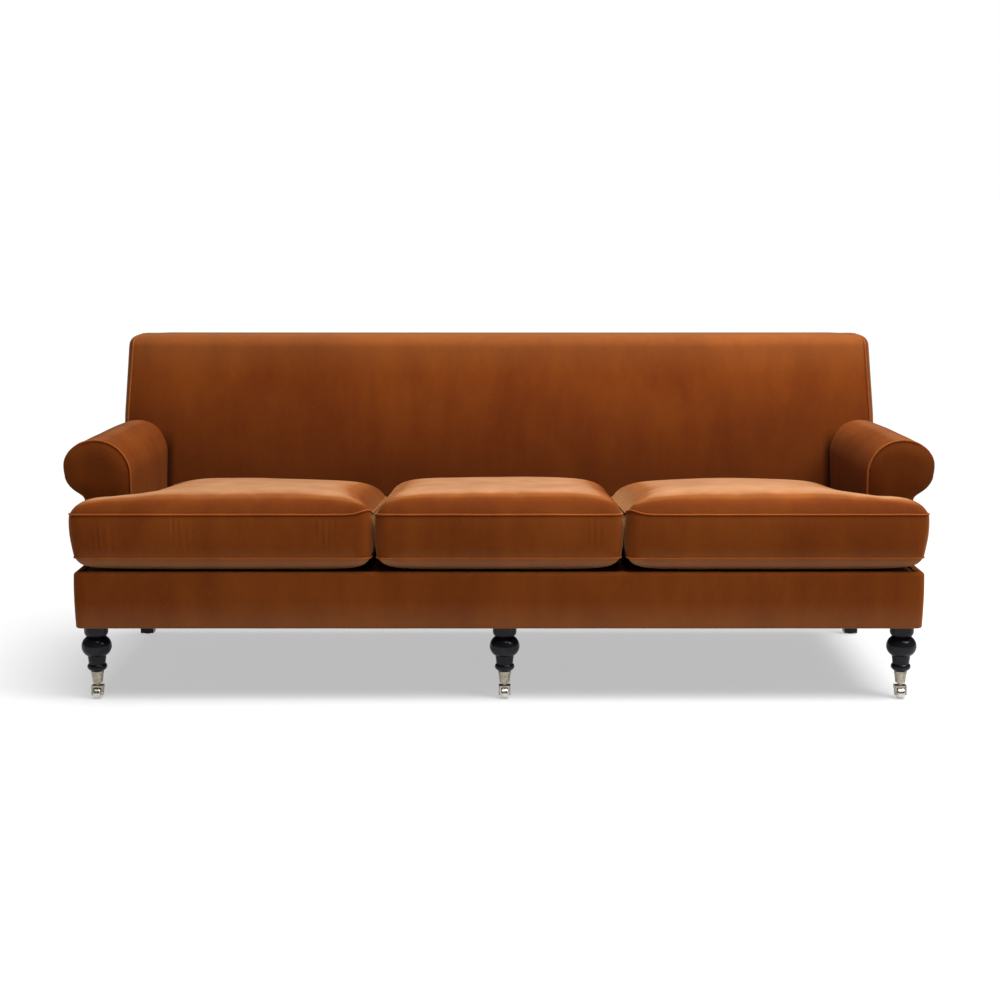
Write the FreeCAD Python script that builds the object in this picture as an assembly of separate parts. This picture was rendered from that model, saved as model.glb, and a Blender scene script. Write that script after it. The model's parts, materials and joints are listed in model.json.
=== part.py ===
import FreeCAD, Part
import math
import os

# Tight back sofa with rolled arms, three loose seat cushions and casters on the front legs.
# Millimetres. X runs along the sofa, Y from front to back, Z up from the floor.

os.makedirs("parts", exist_ok=True)
V = FreeCAD.Vector

# Overall sizes
overall_depth = 915.0
body_width = 2076.0
seat_width = 1840.0
back_overhang = 70.5
base_bottom = 188.0
deck_height = 329.0
arm_height = 637.0
back_height = 858.0
cushion_overhang = 17.5
arm_setback = 138.0

# Fits and small allowances shared by many pieces
cover_thickness = 1.6
layer_gap = 0.3
wood_clearance = 0.1
running_clearance = 0.05
cut_overrun = 20.0
arc_mid_share = 1 - math.sqrt(0.5)
diagonal_share = math.sqrt(0.5)

# Arm roll
roll_inner_radius = 88.0
roll_outer_radius = 82.0
roll_under_radius = 50.0
roll_neck_radius = 14.0
arm_foam = 12.0
former_thickness = 3.0

# Base box
edge_radius = 18.0
dust_cover_thickness = 1.0
rail_top = 306.0
rail_thickness = 26.0
deck_pad_bottom = 313.0
cross_rail_height = 50.0
cross_rail_thickness = 30.0
block_width = 50.0
block_depth = 66.0
block_height = 50.0

# Back
back_low_depth = 197.0
back_high_depth = 137.5
back_width_high = 2044.0
back_side_bulge = 20.0
back_top_bulge = 0.3
back_crown = 12.0
back_edge_fall = 14.0
back_edge_run = 70.0
back_top_radius = 30.0
back_turn_shares = (1 / 3, 2 / 3, 1)
back_foam = 60.0
back_top_foam = 15.0
post_thickness = 30.0
centre_post_depth = 45.0
centre_post_spacing = 660.0
top_rail_height = 43.0
lower_rail_bottom = 345.0
lower_rail_height = 50.0
lower_rail_depth = 25.0

# Arm frame
arm_board_thickness = 24.0
arm_post_width = 74.0
arm_rail_width = 50.0
arm_rail_height = 22.0
arm_low_rail_width = 55.0
arm_low_rail_height = 25.0
arm_low_rail_lift = 11.0

# Welts
welt_radius = 2.8
arm_welt_inset = 0.6
arm_welt_setback = 0.4
back_welt_gap = 0.8

# Seat cushions
cushion_back_gap = 6.0
cushion_split_x = 306.0
cushion_gap = 1.5
cushion_side_gap = 3.5
cushion_ear_x = 1053.0
cushion_ear_gap = 5.0
cushion_corner_radius = 30.0
cushion_notch_radius = 3.0
cushion_crown = 64.0
cushion_top_welt = 471.0
cushion_low_welt = 363.5
cushion_top_inset = 6.0
cushion_low_inset = 11.0
cushion_top_run = 180.0
cushion_low_run = 52.0
cap_level_count = 4
# The top falls rearward by this share of its depth
cushion_pitch_share = 0.08
# Height and run shares from the upper welt to the crown, and from the lower welt to the underside
crown_height_shares = (0.0, 0.2, 0.45, 0.66, 0.8, 0.94, 1.0)
crown_run_shares = (0.0, 0.04, 0.12, 0.22, 0.33, 0.57, 1.0)
belly_height_shares = (0.45, 0.78, 1.0)
belly_run_shares = (0.14, 0.45, 1.0)
ear_rear_share = 0.1

# Zig-zag springs
wire_radius = 1.9
spring_half_straight = 15.0
spring_nominal_radius = 16.0
spring_clip_width = 20.0
clip_plate = 1.2
clip_reach = 9.0
clip_slack = 0.2
seat_spring_count = 12
seat_spring_span = 1760.0
back_spring_count = 9
back_spring_span = 1740.0
spring_end_setback = 10.0

# Legs and their hardware
front_leg_x = 1000.0
centre_leg_x = 14.0
front_leg_setback = 50.0
rear_leg_x = 1013.0
rear_leg_setback = 45.0
leg_flange_radius = 29.5
leg_flange_bottom = 168.0
leg_cove_radius = 27.5
leg_neck_radius = 23.0
leg_neck_height = 157.0
leg_bulb_radius = 37.2
leg_bulb_height = 132.5
leg_bulb_bottom = 109.0
leg_waist_radius = 20.5
leg_waist_height = 88.5
leg_ring_radius = 24.4
leg_ring_height = 81.0
leg_ring_bottom = 74.5
leg_ring_low_radius = 21.5
ferrule_top = 69.0
ferrule_collar_height = 5.4
ferrule_collar_radius = 15.8
ferrule_top_radius = 15.2
ferrule_bottom_radius = 12.2
ferrule_bottom = 40.5
ferrule_wall = 1.2
rear_leg_top_side = 48.0
rear_leg_foot_side = 36.0
glide_radius = 11.0
glide_height = 3.0
leg_bolt_radius = 4.0
leg_bolt_up = 44.0
leg_bolt_down = 38.0

# Casters
wheel_radius = 14.0
wheel_width = 18.0
wheel_edge_radius = 3.0
wheel_trail = 7.0
axle_radius = 2.5
axle_head_radius = 4.0
axle_head_thickness = 1.0
fork_width = 29.0
fork_arm_thickness = 3.8
fork_plate_bottom = 30.0
fork_plate_top = 33.0
fork_plate_depth = 24.0
fork_tip_radius = 5.5
fork_boss_radius = 6.5
fork_boss_top = 40.0
stem_radius = 4.0
stem_top = 78.0

# Frame screws
screw_radius = 2.5
screw_length = 50.0
screw_head_radius = 4.5
screw_head_height = 3.0
screw_pitch = 60.0

# Places worked out from the sizes above
half_body = body_width / 2
front_y = -overall_depth / 2
base_front_y = front_y + cushion_overhang
back_rear_top_y = overall_depth / 2
base_rear_y = back_rear_top_y - back_overhang
back_front_low_y = base_rear_y - back_low_depth
back_front_high_y = back_rear_top_y - back_high_depth
cushion_rear_y = back_front_low_y - cushion_back_gap
arm_front_y = base_front_y + arm_setback
arm_inner_x = seat_width / 2
arm_apex_x = arm_inner_x + roll_inner_radius
skin = cover_thickness + layer_gap
frame_bottom = base_bottom + dust_cover_thickness
rail_front_y = base_front_y + skin
rail_outer_x = half_body - skin
rail_inner_x = rail_outer_x - rail_thickness
front_rail_rear_y = rail_front_y + rail_thickness
back_rail_rear_y = base_rear_y - skin
back_rail_front_y = back_rail_rear_y - rail_thickness
front_leg_y = base_front_y + front_leg_setback
rear_leg_y = base_rear_y - rear_leg_setback
post_outer_x = rail_inner_x
post_inner_x = post_outer_x - post_thickness
core_offset = back_foam + skin
top_rail_top = back_height - back_top_foam - skin - layer_gap
top_rail_bottom = top_rail_top - top_rail_height
seam_y = base_front_y + edge_radius + cover_thickness
seam_x = half_body - edge_radius - cover_thickness
board_front_y = arm_front_y + skin
board_rear_y = board_front_y + arm_board_thickness
arm_bottom = deck_height + layer_gap
panel_inset = arm_welt_inset + welt_radius + layer_gap
arm_welt_y = arm_front_y + arm_welt_setback
roll_cover_front_y = arm_welt_y + welt_radius + layer_gap
wire_height = clip_plate + clip_slack + wire_radius
spring_stack = wire_height + wire_radius + clip_slack + clip_plate + layer_gap


def box(x0, x1, y0, y1, z0, z1):
    return Part.makeBox(x1 - x0, y1 - y0, z1 - z0, V(x0, y0, z0))


def line(a, b):
    return Part.LineSegment(a, b).toShape()


def arc(a, b, c):
    return Part.Arc(a, b, c).toShape()


def mirrored(shape):
    return shape.mirror(V(0, 0, 0), V(1, 0, 0))


def both_sides(shape):
    return [mirrored(shape), shape]


def cut_all(shape, tools):
    for tool in tools:
        shape = shape.cut(tool)
    return shape


def tube(path_edges, radius):
    path = Part.Wire(path_edges)
    first = path_edges[0]
    start = first.valueAt(first.FirstParameter)
    heading = first.tangentAt(first.FirstParameter)
    ring = Part.Wire([Part.Circle(start, heading, radius).toShape()])
    return path.makePipeShell([ring], True, False)


def side_prism(points, x0, x1):
    # A prism along X from an outline of (y, z) points
    corners = [V(x0, y, z) for y, z in points]
    face = Part.Face(Part.makePolygon(corners + [corners[0]]))
    return face.extrude(V(x1 - x0, 0, 0))


def front_prism(points, y0, y1):
    # A prism along Y from an outline of (x, z) points
    corners = [V(x, y0, z) for x, z in points]
    face = Part.Face(Part.makePolygon(corners + [corners[0]]))
    return face.extrude(V(0, y1 - y0, 0))


def export(name, solids):
    flat = [solid for shape in solids for solid in shape.Solids]
    shape = flat[0] if len(flat) == 1 else Part.makeCompound(flat)
    for solid in flat:
        if not solid.isValid() or solid.Volume <= 0:
            print("check", name, solid.isValid(), solid.Volume)
    shape.exportStep("parts/" + name + ".step")


# Raked planes of the back

def front_plane_y(z):
    rise = (z - deck_height) / (back_height - deck_height)
    return back_front_low_y + (back_front_high_y - back_front_low_y) * rise


def rear_plane_y(z):
    rise = (z - base_bottom) / (back_height - base_bottom)
    return base_rear_y + (back_rear_top_y - base_rear_y) * rise


def back_half_width(z):
    if z < arm_height:
        return half_body
    rise = (z - arm_height) / (back_height - arm_height)
    return half_body + (back_width_high / 2 - half_body) * rise


def raked_block(x0, x1, near, far, z0, z1):
    # A block whose faces follow the inside back, near and far being offsets behind its surface
    points = [(front_plane_y(z0) + near, z0), (front_plane_y(z0) + far, z0),
              (front_plane_y(z1) + far, z1), (front_plane_y(z1) + near, z1)]
    return side_prism(points, x0, x1)


def behind_rear(offset):
    # Everything behind the outside back, moved forward by the offset
    low = base_bottom - cut_overrun
    high = back_height + cut_overrun
    far = back_rear_top_y + overall_depth
    points = [(rear_plane_y(low) - offset, low), (far, low), (far, high),
              (rear_plane_y(high) - offset, high)]
    return side_prism(points, -half_body - roll_outer_radius, half_body + roll_outer_radius)


# Arm profile: straight inside, two arcs over the roll, one under it and a neck into the outside

def arm_centres():
    c1 = (arm_apex_x, arm_height - roll_inner_radius)
    c2 = (arm_apex_x, arm_height - roll_outer_radius)
    c3 = (arm_apex_x + roll_outer_radius - roll_under_radius, c2[1])
    neck_x = half_body + roll_neck_radius
    reach = roll_under_radius + roll_neck_radius
    neck_z = c3[1] - math.sqrt(reach ** 2 - (c3[0] - neck_x) ** 2)
    return c1, c2, c3, (neck_x, neck_z)


def around(centre, radius, degrees, y):
    angle = math.radians(degrees)
    return V(centre[0] + radius * math.cos(angle), y, centre[1] + radius * math.sin(angle))


def arm_outline(inset, y):
    # Edges from the inside bottom over the roll to the end of the neck, and the points at each end
    c1, c2, c3, c4 = arm_centres()
    r1 = roll_inner_radius - inset
    r2 = roll_outer_radius - inset
    r3 = roll_under_radius - inset
    r4 = roll_neck_radius + inset
    half_turn = math.degrees(math.pi)
    quarter_turn = half_turn / 2
    neck_angle = math.degrees(math.atan2(c4[1] - c3[1], c4[0] - c3[0]))
    start = V(arm_inner_x + inset, y, arm_bottom)
    shoulder = around(c1, r1, half_turn, y)
    apex = around(c1, r1, quarter_turn, y)
    side = around(c2, r2, 0, y)
    under = around(c3, r3, neck_angle, y)
    end = around(c4, r4, half_turn, y)
    edges = [
        line(start, shoulder),
        arc(shoulder, around(c1, r1, half_turn - quarter_turn / 2, y), apex),
        arc(apex, around(c2, r2, quarter_turn / 2, y), side),
        arc(side, around(c3, r3, neck_angle / 2, y), under),
        arc(under, around(c4, r4, (neck_angle + half_turn + half_turn) / 2, y), end),
    ]
    return edges, start, end


def arm_solid(inset, y0, y1, bottom):
    # The whole arm profile as a solid, with its underside at the given height
    edges, start, end = arm_outline(inset, y0)
    low_in = V(start.x, y0, bottom)
    low_out = V(end.x, y0, bottom)
    loop = [line(low_in, start)] if bottom < start.z else []
    loop = loop + edges + [line(end, low_out), line(low_out, low_in if loop else start)]
    return Part.Face(Part.Wire(loop)).extrude(V(0, y1 - y0, 0))


def arm_band(outer_inset, inner_inset, y0, y1):
    # The layer between two insets of the profile, open at the neck and at the seat
    outer, outer_start, outer_end = arm_outline(outer_inset, y0)
    inner, inner_start, inner_end = arm_outline(inner_inset, y0)
    loop = outer + [line(outer_end, inner_end)] + inner[::-1] + [line(inner_start, outer_start)]
    face = Part.Face(Part.Wire(Part.__sortEdges__(loop)))
    return face.extrude(V(0, y1 - y0, 0))


# The back as stacked level outlines: crowned front, eased front corners, bulging sides

def back_level(z, inset, round_off):
    w = back_half_width(z) - inset
    front = front_plane_y(z) + inset + round_off
    corner = front + back_edge_fall
    rear_y = rear_plane_y(z)
    beyond_y = rear_y + cut_overrun
    bulge = w + back_top_bulge + back_side_bulge * (1 - round_off / back_top_radius)
    run = back_edge_run
    middle = (corner + rear_y) / 2
    left = [V(-w, corner, z), V(-w + run * arc_mid_share, front + back_edge_fall * arc_mid_share, z),
            V(-w + run, front, z)]
    right = [V(w - run, front, z), V(w - run * arc_mid_share, front + back_edge_fall * arc_mid_share, z),
             V(w, corner, z)]
    edges = [
        arc(left[0], left[1], left[2]),
        arc(left[2], V(0, front - back_crown, z), right[0]),
        arc(right[0], right[1], right[2]),
        arc(right[2], V(bulge, middle, z), V(w, rear_y, z)),
        line(V(w, rear_y, z), V(w, beyond_y, z)),
        line(V(w, beyond_y, z), V(-w, beyond_y, z)),
        line(V(-w, beyond_y, z), V(-w, rear_y, z)),
        arc(V(-w, rear_y, z), V(-bulge, middle, z), left[0]),
    ]
    return Part.Wire(edges)


def back_body(inset, bottom):
    # Runs past the outside back, so each use is cut there
    top = back_height - inset
    turn_start = top - back_top_radius
    levels = [(bottom, 0), (arm_height, 0), (turn_start, 0)]
    for share in back_turn_shares:
        angle = share * math.pi / 2
        height = turn_start + back_top_radius * math.sin(angle)
        levels.append((height, back_top_radius * (1 - math.cos(angle))))
    wires = [back_level(z, inset, off) for z, off in levels]
    return Part.makeLoft(wires, True, True)


def back_zone(margin):
    # Between the slanted planes that hold the side welts, less the margin
    low = base_bottom - cut_overrun
    high = back_height + cut_overrun
    slope = (back_width_high / 2 - half_body) / (back_height - arm_height)
    top_w = half_body + slope * (high - arm_height) - margin
    w = half_body - margin
    points = [(-w, low), (w, low), (w, arm_height), (top_w, high), (-top_w, high), (-w, arm_height)]
    return front_prism(points, base_front_y, back_rear_top_y + cut_overrun)


# Solids that several pieces are cut against
rear_cutter = behind_rear(0)
inner_rear_cutter = behind_rear(skin)
arm_block = arm_solid(-layer_gap, arm_front_y, back_rear_top_y + cut_overrun, deck_height - cut_overrun)
arm_blocks = both_sides(arm_block)
back_keepout = back_body(-layer_gap, base_bottom).common(back_zone(cover_thickness))
back_shell = cut_all(back_body(0, arm_bottom), [back_body(cover_thickness, base_bottom), inner_rear_cutter])
inner_zone = back_zone(skin)


def arm_rails():
    # Rails that run from the arm front board to the back post, right side
    inset = skin + arm_foam + layer_gap + former_thickness + layer_gap
    r = min(roll_inner_radius, roll_outer_radius) - inset
    top = arm_height - inset - r + math.sqrt(r ** 2 - (arm_rail_width / 2) ** 2) - layer_gap
    x0 = arm_apex_x - arm_rail_width / 2
    high = box(x0, x0 + arm_rail_width, board_rear_y, back_rear_top_y, top - arm_rail_height, top)
    low_x = arm_inner_x + inset
    low_z = arm_bottom + arm_low_rail_lift
    low = box(low_x, low_x + arm_low_rail_width, board_rear_y, back_rear_top_y,
              low_z, low_z + arm_low_rail_height)
    beyond = raked_block(0, half_body, core_offset, overall_depth, base_bottom, back_height)
    return high.cut(beyond), low.cut(beyond)


def grown(solid, margin):
    b = solid.BoundBox
    return box(b.XMin - margin, b.XMax + margin, b.YMin - margin, b.YMax + margin,
               b.ZMin - margin, b.ZMax + margin)


high_arm_rail, low_arm_rail = arm_rails()
arm_rail_notches = both_sides(grown(high_arm_rail, layer_gap)) + both_sides(grown(low_arm_rail, layer_gap))


# Fasteners: each is made once as a solid, and once a little larger as the hole it needs

def leg_places():
    front = [(-front_leg_x, front_leg_y), (centre_leg_x, front_leg_y), (front_leg_x, front_leg_y)]
    rear = [(-rear_leg_x, rear_leg_y), (rear_leg_x, rear_leg_y)]
    return front, rear


def leg_bolts(margin):
    front, rear = leg_places()
    bolts = []
    for x, y in front + rear:
        foot = V(x, y, base_bottom - leg_bolt_down - margin)
        length = leg_bolt_down + leg_bolt_up + margin + margin
        bolts.append(Part.makeCylinder(leg_bolt_radius + margin, length, foot))
    return bolts


def screw(head, direction, margin):
    shank = Part.makeCylinder(screw_radius + margin, screw_length + margin, head, direction)
    cap = Part.makeCylinder(screw_head_radius + margin, screw_head_height + margin, head, direction)
    return shank.fuse(cap)


def frame_screws(margin):
    screws = []
    middle = (frame_bottom + rail_top) / 2
    front_rail_x = rail_inner_x + screw_head_radius + layer_gap
    board_y = (board_front_y + board_rear_y) / 2
    post_y = back_rail_rear_y - rail_thickness / 2
    for z in (middle - screw_pitch / 2, middle + screw_pitch / 2):
        for side in (-1, 1):
            screws.append(screw(V(side * front_rail_x, rail_front_y, z), V(0, 1, 0), margin))
            for y in (board_y, post_y):
                screws.append(screw(V(side * rail_outer_x, y, z), V(-side, 0, 0), margin))
    return screws


bolt_holes = leg_bolts(wood_clearance)
screw_holes = frame_screws(wood_clearance)
holes = bolt_holes + screw_holes


# Wooden frame

def make_base_frame():
    front = box(-rail_outer_x, rail_outer_x, rail_front_y, front_rail_rear_y, frame_bottom, rail_top)
    front = front.makeFillet(edge_radius - skin, [e for e in front.Edges if is_front_corner(e)])
    export("front_rail", [cut_all(front, holes)])
    back = box(-post_inner_x, post_inner_x, back_rail_front_y, back_rail_rear_y, frame_bottom, rail_top)
    export("back_rail", [cut_all(back, holes)])
    side = box(rail_inner_x, rail_outer_x, front_rail_rear_y, back_rail_rear_y, frame_bottom, rail_top)
    export("side_rails", [cut_all(s, holes) for s in both_sides(side)])
    cross = box(cushion_split_x, cushion_split_x + cross_rail_thickness, front_rail_rear_y,
                back_rail_front_y, frame_bottom, frame_bottom + cross_rail_height)
    export("cross_rails", both_sides(cross))


def is_front_corner(edge):
    b = edge.BoundBox
    return b.ZLength > rail_thickness and b.YMax < rail_front_y + layer_gap


def make_blocks():
    top = frame_bottom + block_height
    front = box(rail_inner_x - block_width, rail_inner_x, front_rail_rear_y,
                front_rail_rear_y + block_depth, frame_bottom, top)
    rear = box(post_inner_x - block_width, post_inner_x, back_rail_front_y - block_width,
               back_rail_front_y, frame_bottom, top)
    centre = box(centre_leg_x - block_width / 2, centre_leg_x + block_width / 2, front_rail_rear_y,
                 front_rail_rear_y + block_depth, frame_bottom, top)
    blocks = both_sides(front) + both_sides(rear) + [centre]
    export("corner_blocks", [cut_all(b, holes) for b in blocks])


def make_arm_frame():
    board = arm_solid(panel_inset, board_front_y, board_rear_y, arm_bottom)
    post_x = rail_inner_x - arm_post_width
    post = box(post_x, rail_inner_x, board_front_y, board_rear_y, frame_bottom, arm_bottom)
    board = board.fuse(post).removeSplitter()
    export("arm_front_posts", [cut_all(b, holes) for b in both_sides(board)])
    export("arm_top_rails", both_sides(high_arm_rail))
    export("arm_lower_rails", both_sides(low_arm_rail))
    outer = skin + arm_foam + layer_gap
    band = arm_band(outer, outer + former_thickness, board_rear_y + layer_gap, back_rear_top_y)
    band = cut_all(band, [back_keepout, inner_rear_cutter])
    export("arm_formers", both_sides(band))


def make_back_frame():
    # Side posts are boards as deep as the back, so every back rail meets them
    low_rear = rear_plane_y(frame_bottom) - skin
    low_front = front_plane_y(deck_height) + core_offset
    points = [(low_front, frame_bottom), (low_rear, frame_bottom),
              (rear_plane_y(top_rail_bottom) - skin, top_rail_bottom),
              (front_plane_y(top_rail_bottom) + core_offset, top_rail_bottom), (low_front, deck_height)]
    post = side_prism(points, post_inner_x, post_outer_x)
    rail_tail = box(rail_inner_x, rail_outer_x, back_rail_front_y, base_rear_y, frame_bottom, rail_top)
    export("back_posts", [cut_all(p, holes) for p in both_sides(post.cut(rail_tail))])
    half = centre_post_spacing / 2
    points = [(rear_plane_y(z) - skin - depth, z) for z, depth in
              ((rail_top, centre_post_depth), (rail_top, 0), (top_rail_bottom, 0),
               (top_rail_bottom, centre_post_depth))]
    centre = side_prism(points, half - post_thickness / 2, half + post_thickness / 2)
    export("back_centre_posts", both_sides(centre))
    top = raked_block(-post_outer_x, post_outer_x, core_offset + spring_stack, overall_depth,
                      top_rail_bottom, top_rail_top).cut(inner_rear_cutter)
    export("back_top_rail", [top])
    near = core_offset + spring_stack
    low = raked_block(-post_inner_x, post_inner_x, near, near + lower_rail_depth,
                      lower_rail_bottom, lower_rail_bottom + lower_rail_height)
    export("back_lower_rail", [low])


# Zig-zag springs, made flat along Y on a rail face at z = 0 and then placed

def spring(length):
    count = round(length / (spring_nominal_radius * 2))
    radius = length / (count * 2)
    edges = []
    side = 1
    y = 0
    for turn in range(count):
        near = V(side * spring_half_straight, y, wire_height)
        edges.append(line(V(-side * spring_half_straight, y, wire_height), near))
        y += radius * 2
        far = V(side * spring_half_straight, y, wire_height)
        bend = V(side * (spring_half_straight + radius), y - radius, wire_height)
        edges.append(arc(near, bend, far))
        side = -side
    edges.append(line(V(-side * spring_half_straight, y, wire_height),
                      V(side * spring_half_straight, y, wire_height)))
    return tube(edges, wire_radius)


def clip():
    # A folded plate open towards +Y, its lip over the end of the spring
    back = -wire_radius - clip_slack
    top = wire_height + wire_radius + clip_slack
    half = spring_clip_width / 2
    body = box(-half, half, back - clip_plate, clip_reach, 0, top + clip_plate)
    slot = box(-half - cut_overrun, half + cut_overrun, back, clip_reach + cut_overrun, clip_plate, top)
    return body.cut(slot)


def spring_row(count, span, length):
    springs = []
    clips = []
    wire = spring(length)
    front_clip = clip()
    rear_clip = front_clip.mirror(V(0, 0, 0), V(0, 1, 0))
    rear_clip.translate(V(0, length, 0))
    for i in range(count):
        x = span * (i / (count - 1) - 1 / 2)
        for source, target in ((wire, springs), (front_clip, clips), (rear_clip, clips)):
            copy = source.copy()
            copy.translate(V(x, 0, 0))
            target.append(copy)
    return springs, clips


def make_springs():
    seat_start = rail_front_y + spring_end_setback
    seat_length = back_rail_rear_y - spring_end_setback - seat_start
    springs, clips = spring_row(seat_spring_count, seat_spring_span, seat_length)
    for piece in springs + clips:
        piece.translate(V(0, seat_start, rail_top))
    export("seat_springs", springs)
    low_z = lower_rail_bottom + spring_end_setback
    high_z = top_rail_top - spring_end_setback
    near = core_offset + spring_stack
    run = high_z - low_z
    drift = front_plane_y(high_z) - front_plane_y(low_z)
    back_springs, back_clips = spring_row(back_spring_count, back_spring_span, math.hypot(run, drift))
    tilt = math.degrees(math.atan2(run, drift))
    for piece in back_springs + back_clips:
        piece.rotate(V(0, 0, 0), V(1, 0, 0), tilt)
        piece.translate(V(0, front_plane_y(low_z) + near, low_z))
    export("back_springs", back_springs)
    export("spring_clips", clips + back_clips)


# Padding

def front_block(inset, rear_y, bottom):
    # The base in front of the arms, its upper edges and front corners rounded
    x = half_body - inset
    y = base_front_y + inset
    top = deck_height - inset
    block = box(-x, x, y, rear_y, bottom, top)
    chosen = []
    for edge in block.Edges:
        b = edge.BoundBox
        upper = b.ZLength < layer_gap and b.ZMax > top - layer_gap and b.YMin < rear_y - layer_gap
        if upper or (b.ZLength > layer_gap and b.YMax < y + layer_gap):
            chosen.append(edge)
    return block.makeFillet(edge_radius - inset, chosen)


def make_pads():
    deck = front_block(skin, arm_front_y, base_bottom)
    under_deck = box(-half_body, half_body, base_front_y, arm_front_y + cut_overrun,
                     base_bottom, deck_pad_bottom)
    deck = deck.cut(under_deck)
    rear_y = rear_plane_y(deck_pad_bottom) - skin - centre_post_depth - layer_gap
    rest = box(-arm_inner_x, arm_inner_x, arm_front_y, rear_y, deck_pad_bottom, deck_height - skin)
    export("deck_pad", [deck.fuse(rest).removeSplitter()])
    outer = back_body(skin, deck_height).cut(inner_rear_cutter)
    low = deck_height - cut_overrun
    points = [(front_plane_y(low) + core_offset, low), (back_rear_top_y + cut_overrun, low),
              (back_rear_top_y + cut_overrun, top_rail_top + layer_gap),
              (front_plane_y(top_rail_top) + core_offset, top_rail_top + layer_gap)]
    core = side_prism(points, -post_outer_x - layer_gap, post_outer_x + layer_gap)
    arm_keepout = [b.cut(inner_zone) for b in arm_blocks]
    pad = cut_all(outer, [core] + arm_keepout + arm_rail_notches)
    export("back_pad", [biggest(pad)])
    band = arm_band(skin, skin + arm_foam, board_rear_y + layer_gap, back_rear_top_y)
    band = cut_all(band, [back_keepout, inner_rear_cutter])
    export("arm_pad_left", [mirrored(band)])
    export("arm_pad_right", [band])


def biggest(shape):
    return max(shape.Solids, key=lambda s: s.Volume)


# Covers

def make_base_covers():
    shell = front_block(0, arm_front_y, base_bottom)
    shell = shell.cut(front_block(cover_thickness, arm_front_y + cut_overrun, base_bottom - cut_overrun))
    border_zone = box(-half_body, half_body, base_front_y, seam_y, base_bottom, deck_height)
    export("front_border_cover", [shell.common(border_zone)])
    deck_front = box(-seam_x, seam_x, seam_y, arm_front_y, deck_height - cover_thickness, deck_height)
    deck_rest = box(-arm_inner_x, arm_inner_x, arm_front_y, back_front_low_y - back_crown - layer_gap,
                    deck_height - cover_thickness, deck_height)
    export("deck_cover", [deck_front.fuse(deck_rest).removeSplitter()])
    neck_z = arm_centres()[3][1]
    side_front = shell.common(box(seam_x, half_body, seam_y, arm_front_y, base_bottom, deck_height))
    inner_x = half_body - cover_thickness
    low_panel = box(inner_x, half_body, arm_front_y, back_rear_top_y, base_bottom, deck_height)
    high_panel = box(inner_x, half_body, roll_cover_front_y, back_rear_top_y,
                     deck_height, neck_z - layer_gap)
    side = side_front.fuse(low_panel).fuse(high_panel).cut(rear_cutter).removeSplitter()
    export("outside_arm_cover_left", [mirrored(side)])
    export("outside_arm_cover_right", [side])
    under = box(-rail_outer_x, rail_outer_x, rail_front_y, back_rail_rear_y, base_bottom, frame_bottom)
    under = under.makeFillet(edge_radius - skin, [e for e in under.Edges if is_sheet_corner(e)])
    export("dust_cover", [cut_all(under, bolt_holes)])


def is_sheet_corner(edge):
    b = edge.BoundBox
    return b.ZLength > layer_gap and b.YMax < rail_front_y + layer_gap


def make_arm_covers():
    band = arm_band(0, cover_thickness, roll_cover_front_y, back_rear_top_y)
    band = cut_all(band, [back_keepout, rear_cutter])
    export("inside_arm_cover_left", [mirrored(band)])
    export("inside_arm_cover_right", [band])
    panel = arm_solid(panel_inset, arm_front_y, arm_front_y + cover_thickness, arm_bottom)
    export("arm_front_cover_left", [mirrored(panel)])
    export("arm_front_cover_right", [panel])


def make_back_covers():
    inside = back_shell.common(inner_zone)
    export("inside_back_cover", [biggest(cut_all(inside, arm_rail_notches))])
    sides = cut_all(back_shell.cut(back_zone(cover_thickness)), arm_blocks)
    right_half = box(0, overall_depth + half_body, front_y, overall_depth, arm_bottom, back_height)
    right = biggest(sides.common(right_half))
    export("back_side_cover_left", [mirrored(right)])
    export("back_side_cover_right", [right])
    low = base_bottom
    points = [(rear_plane_y(low) - cover_thickness, low), (rear_plane_y(low), low),
              (back_rear_top_y, back_height), (back_rear_top_y - cover_thickness, back_height)]
    reach = half_body + roll_outer_radius
    slab = side_prism(points, -reach, reach)
    top_edge = back_height - cover_thickness - layer_gap
    slab = slab.common(box(-reach, reach, front_y, overall_depth, low, top_edge))
    # Its upper corners reach out to close the rear ends of the arm rolls
    outline = back_zone(skin)
    for roll in both_sides(arm_solid(skin, front_y, overall_depth, arm_bottom)):
        outline = outline.fuse(roll)
    export("outside_back_cover", [slab.common(outline).removeSplitter()])


# Welts

def make_welts():
    edges, start, end = arm_outline(arm_welt_inset, arm_welt_y)
    foot = V(end.x, end.y, arm_bottom)
    export("arm_welts", both_sides(tube(edges + [line(end, foot)], welt_radius)))
    export("back_welts", both_sides(tube(back_welt_path(), welt_radius)))


def back_welt_path():
    # Up the front side edge of the back, over the top corner and rearward, all in one slanted plane
    off = (welt_radius + back_welt_gap) * diagonal_share

    def on_edge(y, z):
        return V(back_half_width(z) + off, y, z)

    start_z = arm_height + welt_radius
    turn_z = back_height - back_top_radius
    middle_z = turn_z + back_top_radius * diagonal_share
    low_y = front_plane_y(start_z) + back_edge_fall - off
    turn_y = front_plane_y(turn_z) + back_edge_fall - off
    middle_y = front_plane_y(middle_z) + back_edge_fall + back_top_radius * arc_mid_share
    top_y = front_plane_y(back_height) + back_edge_fall + back_top_radius
    rear_y = back_rear_top_y - skin - welt_radius
    low = on_edge(low_y, start_z)
    turn = on_edge(turn_y, turn_z)
    middle = on_edge(middle_y - off * diagonal_share, middle_z + off * diagonal_share)
    top = on_edge(top_y, back_height + off)
    rear = on_edge(rear_y, back_height + off)
    return [line(low, turn), arc(turn, middle, top), line(top, rear)]


# Seat cushions

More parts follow.
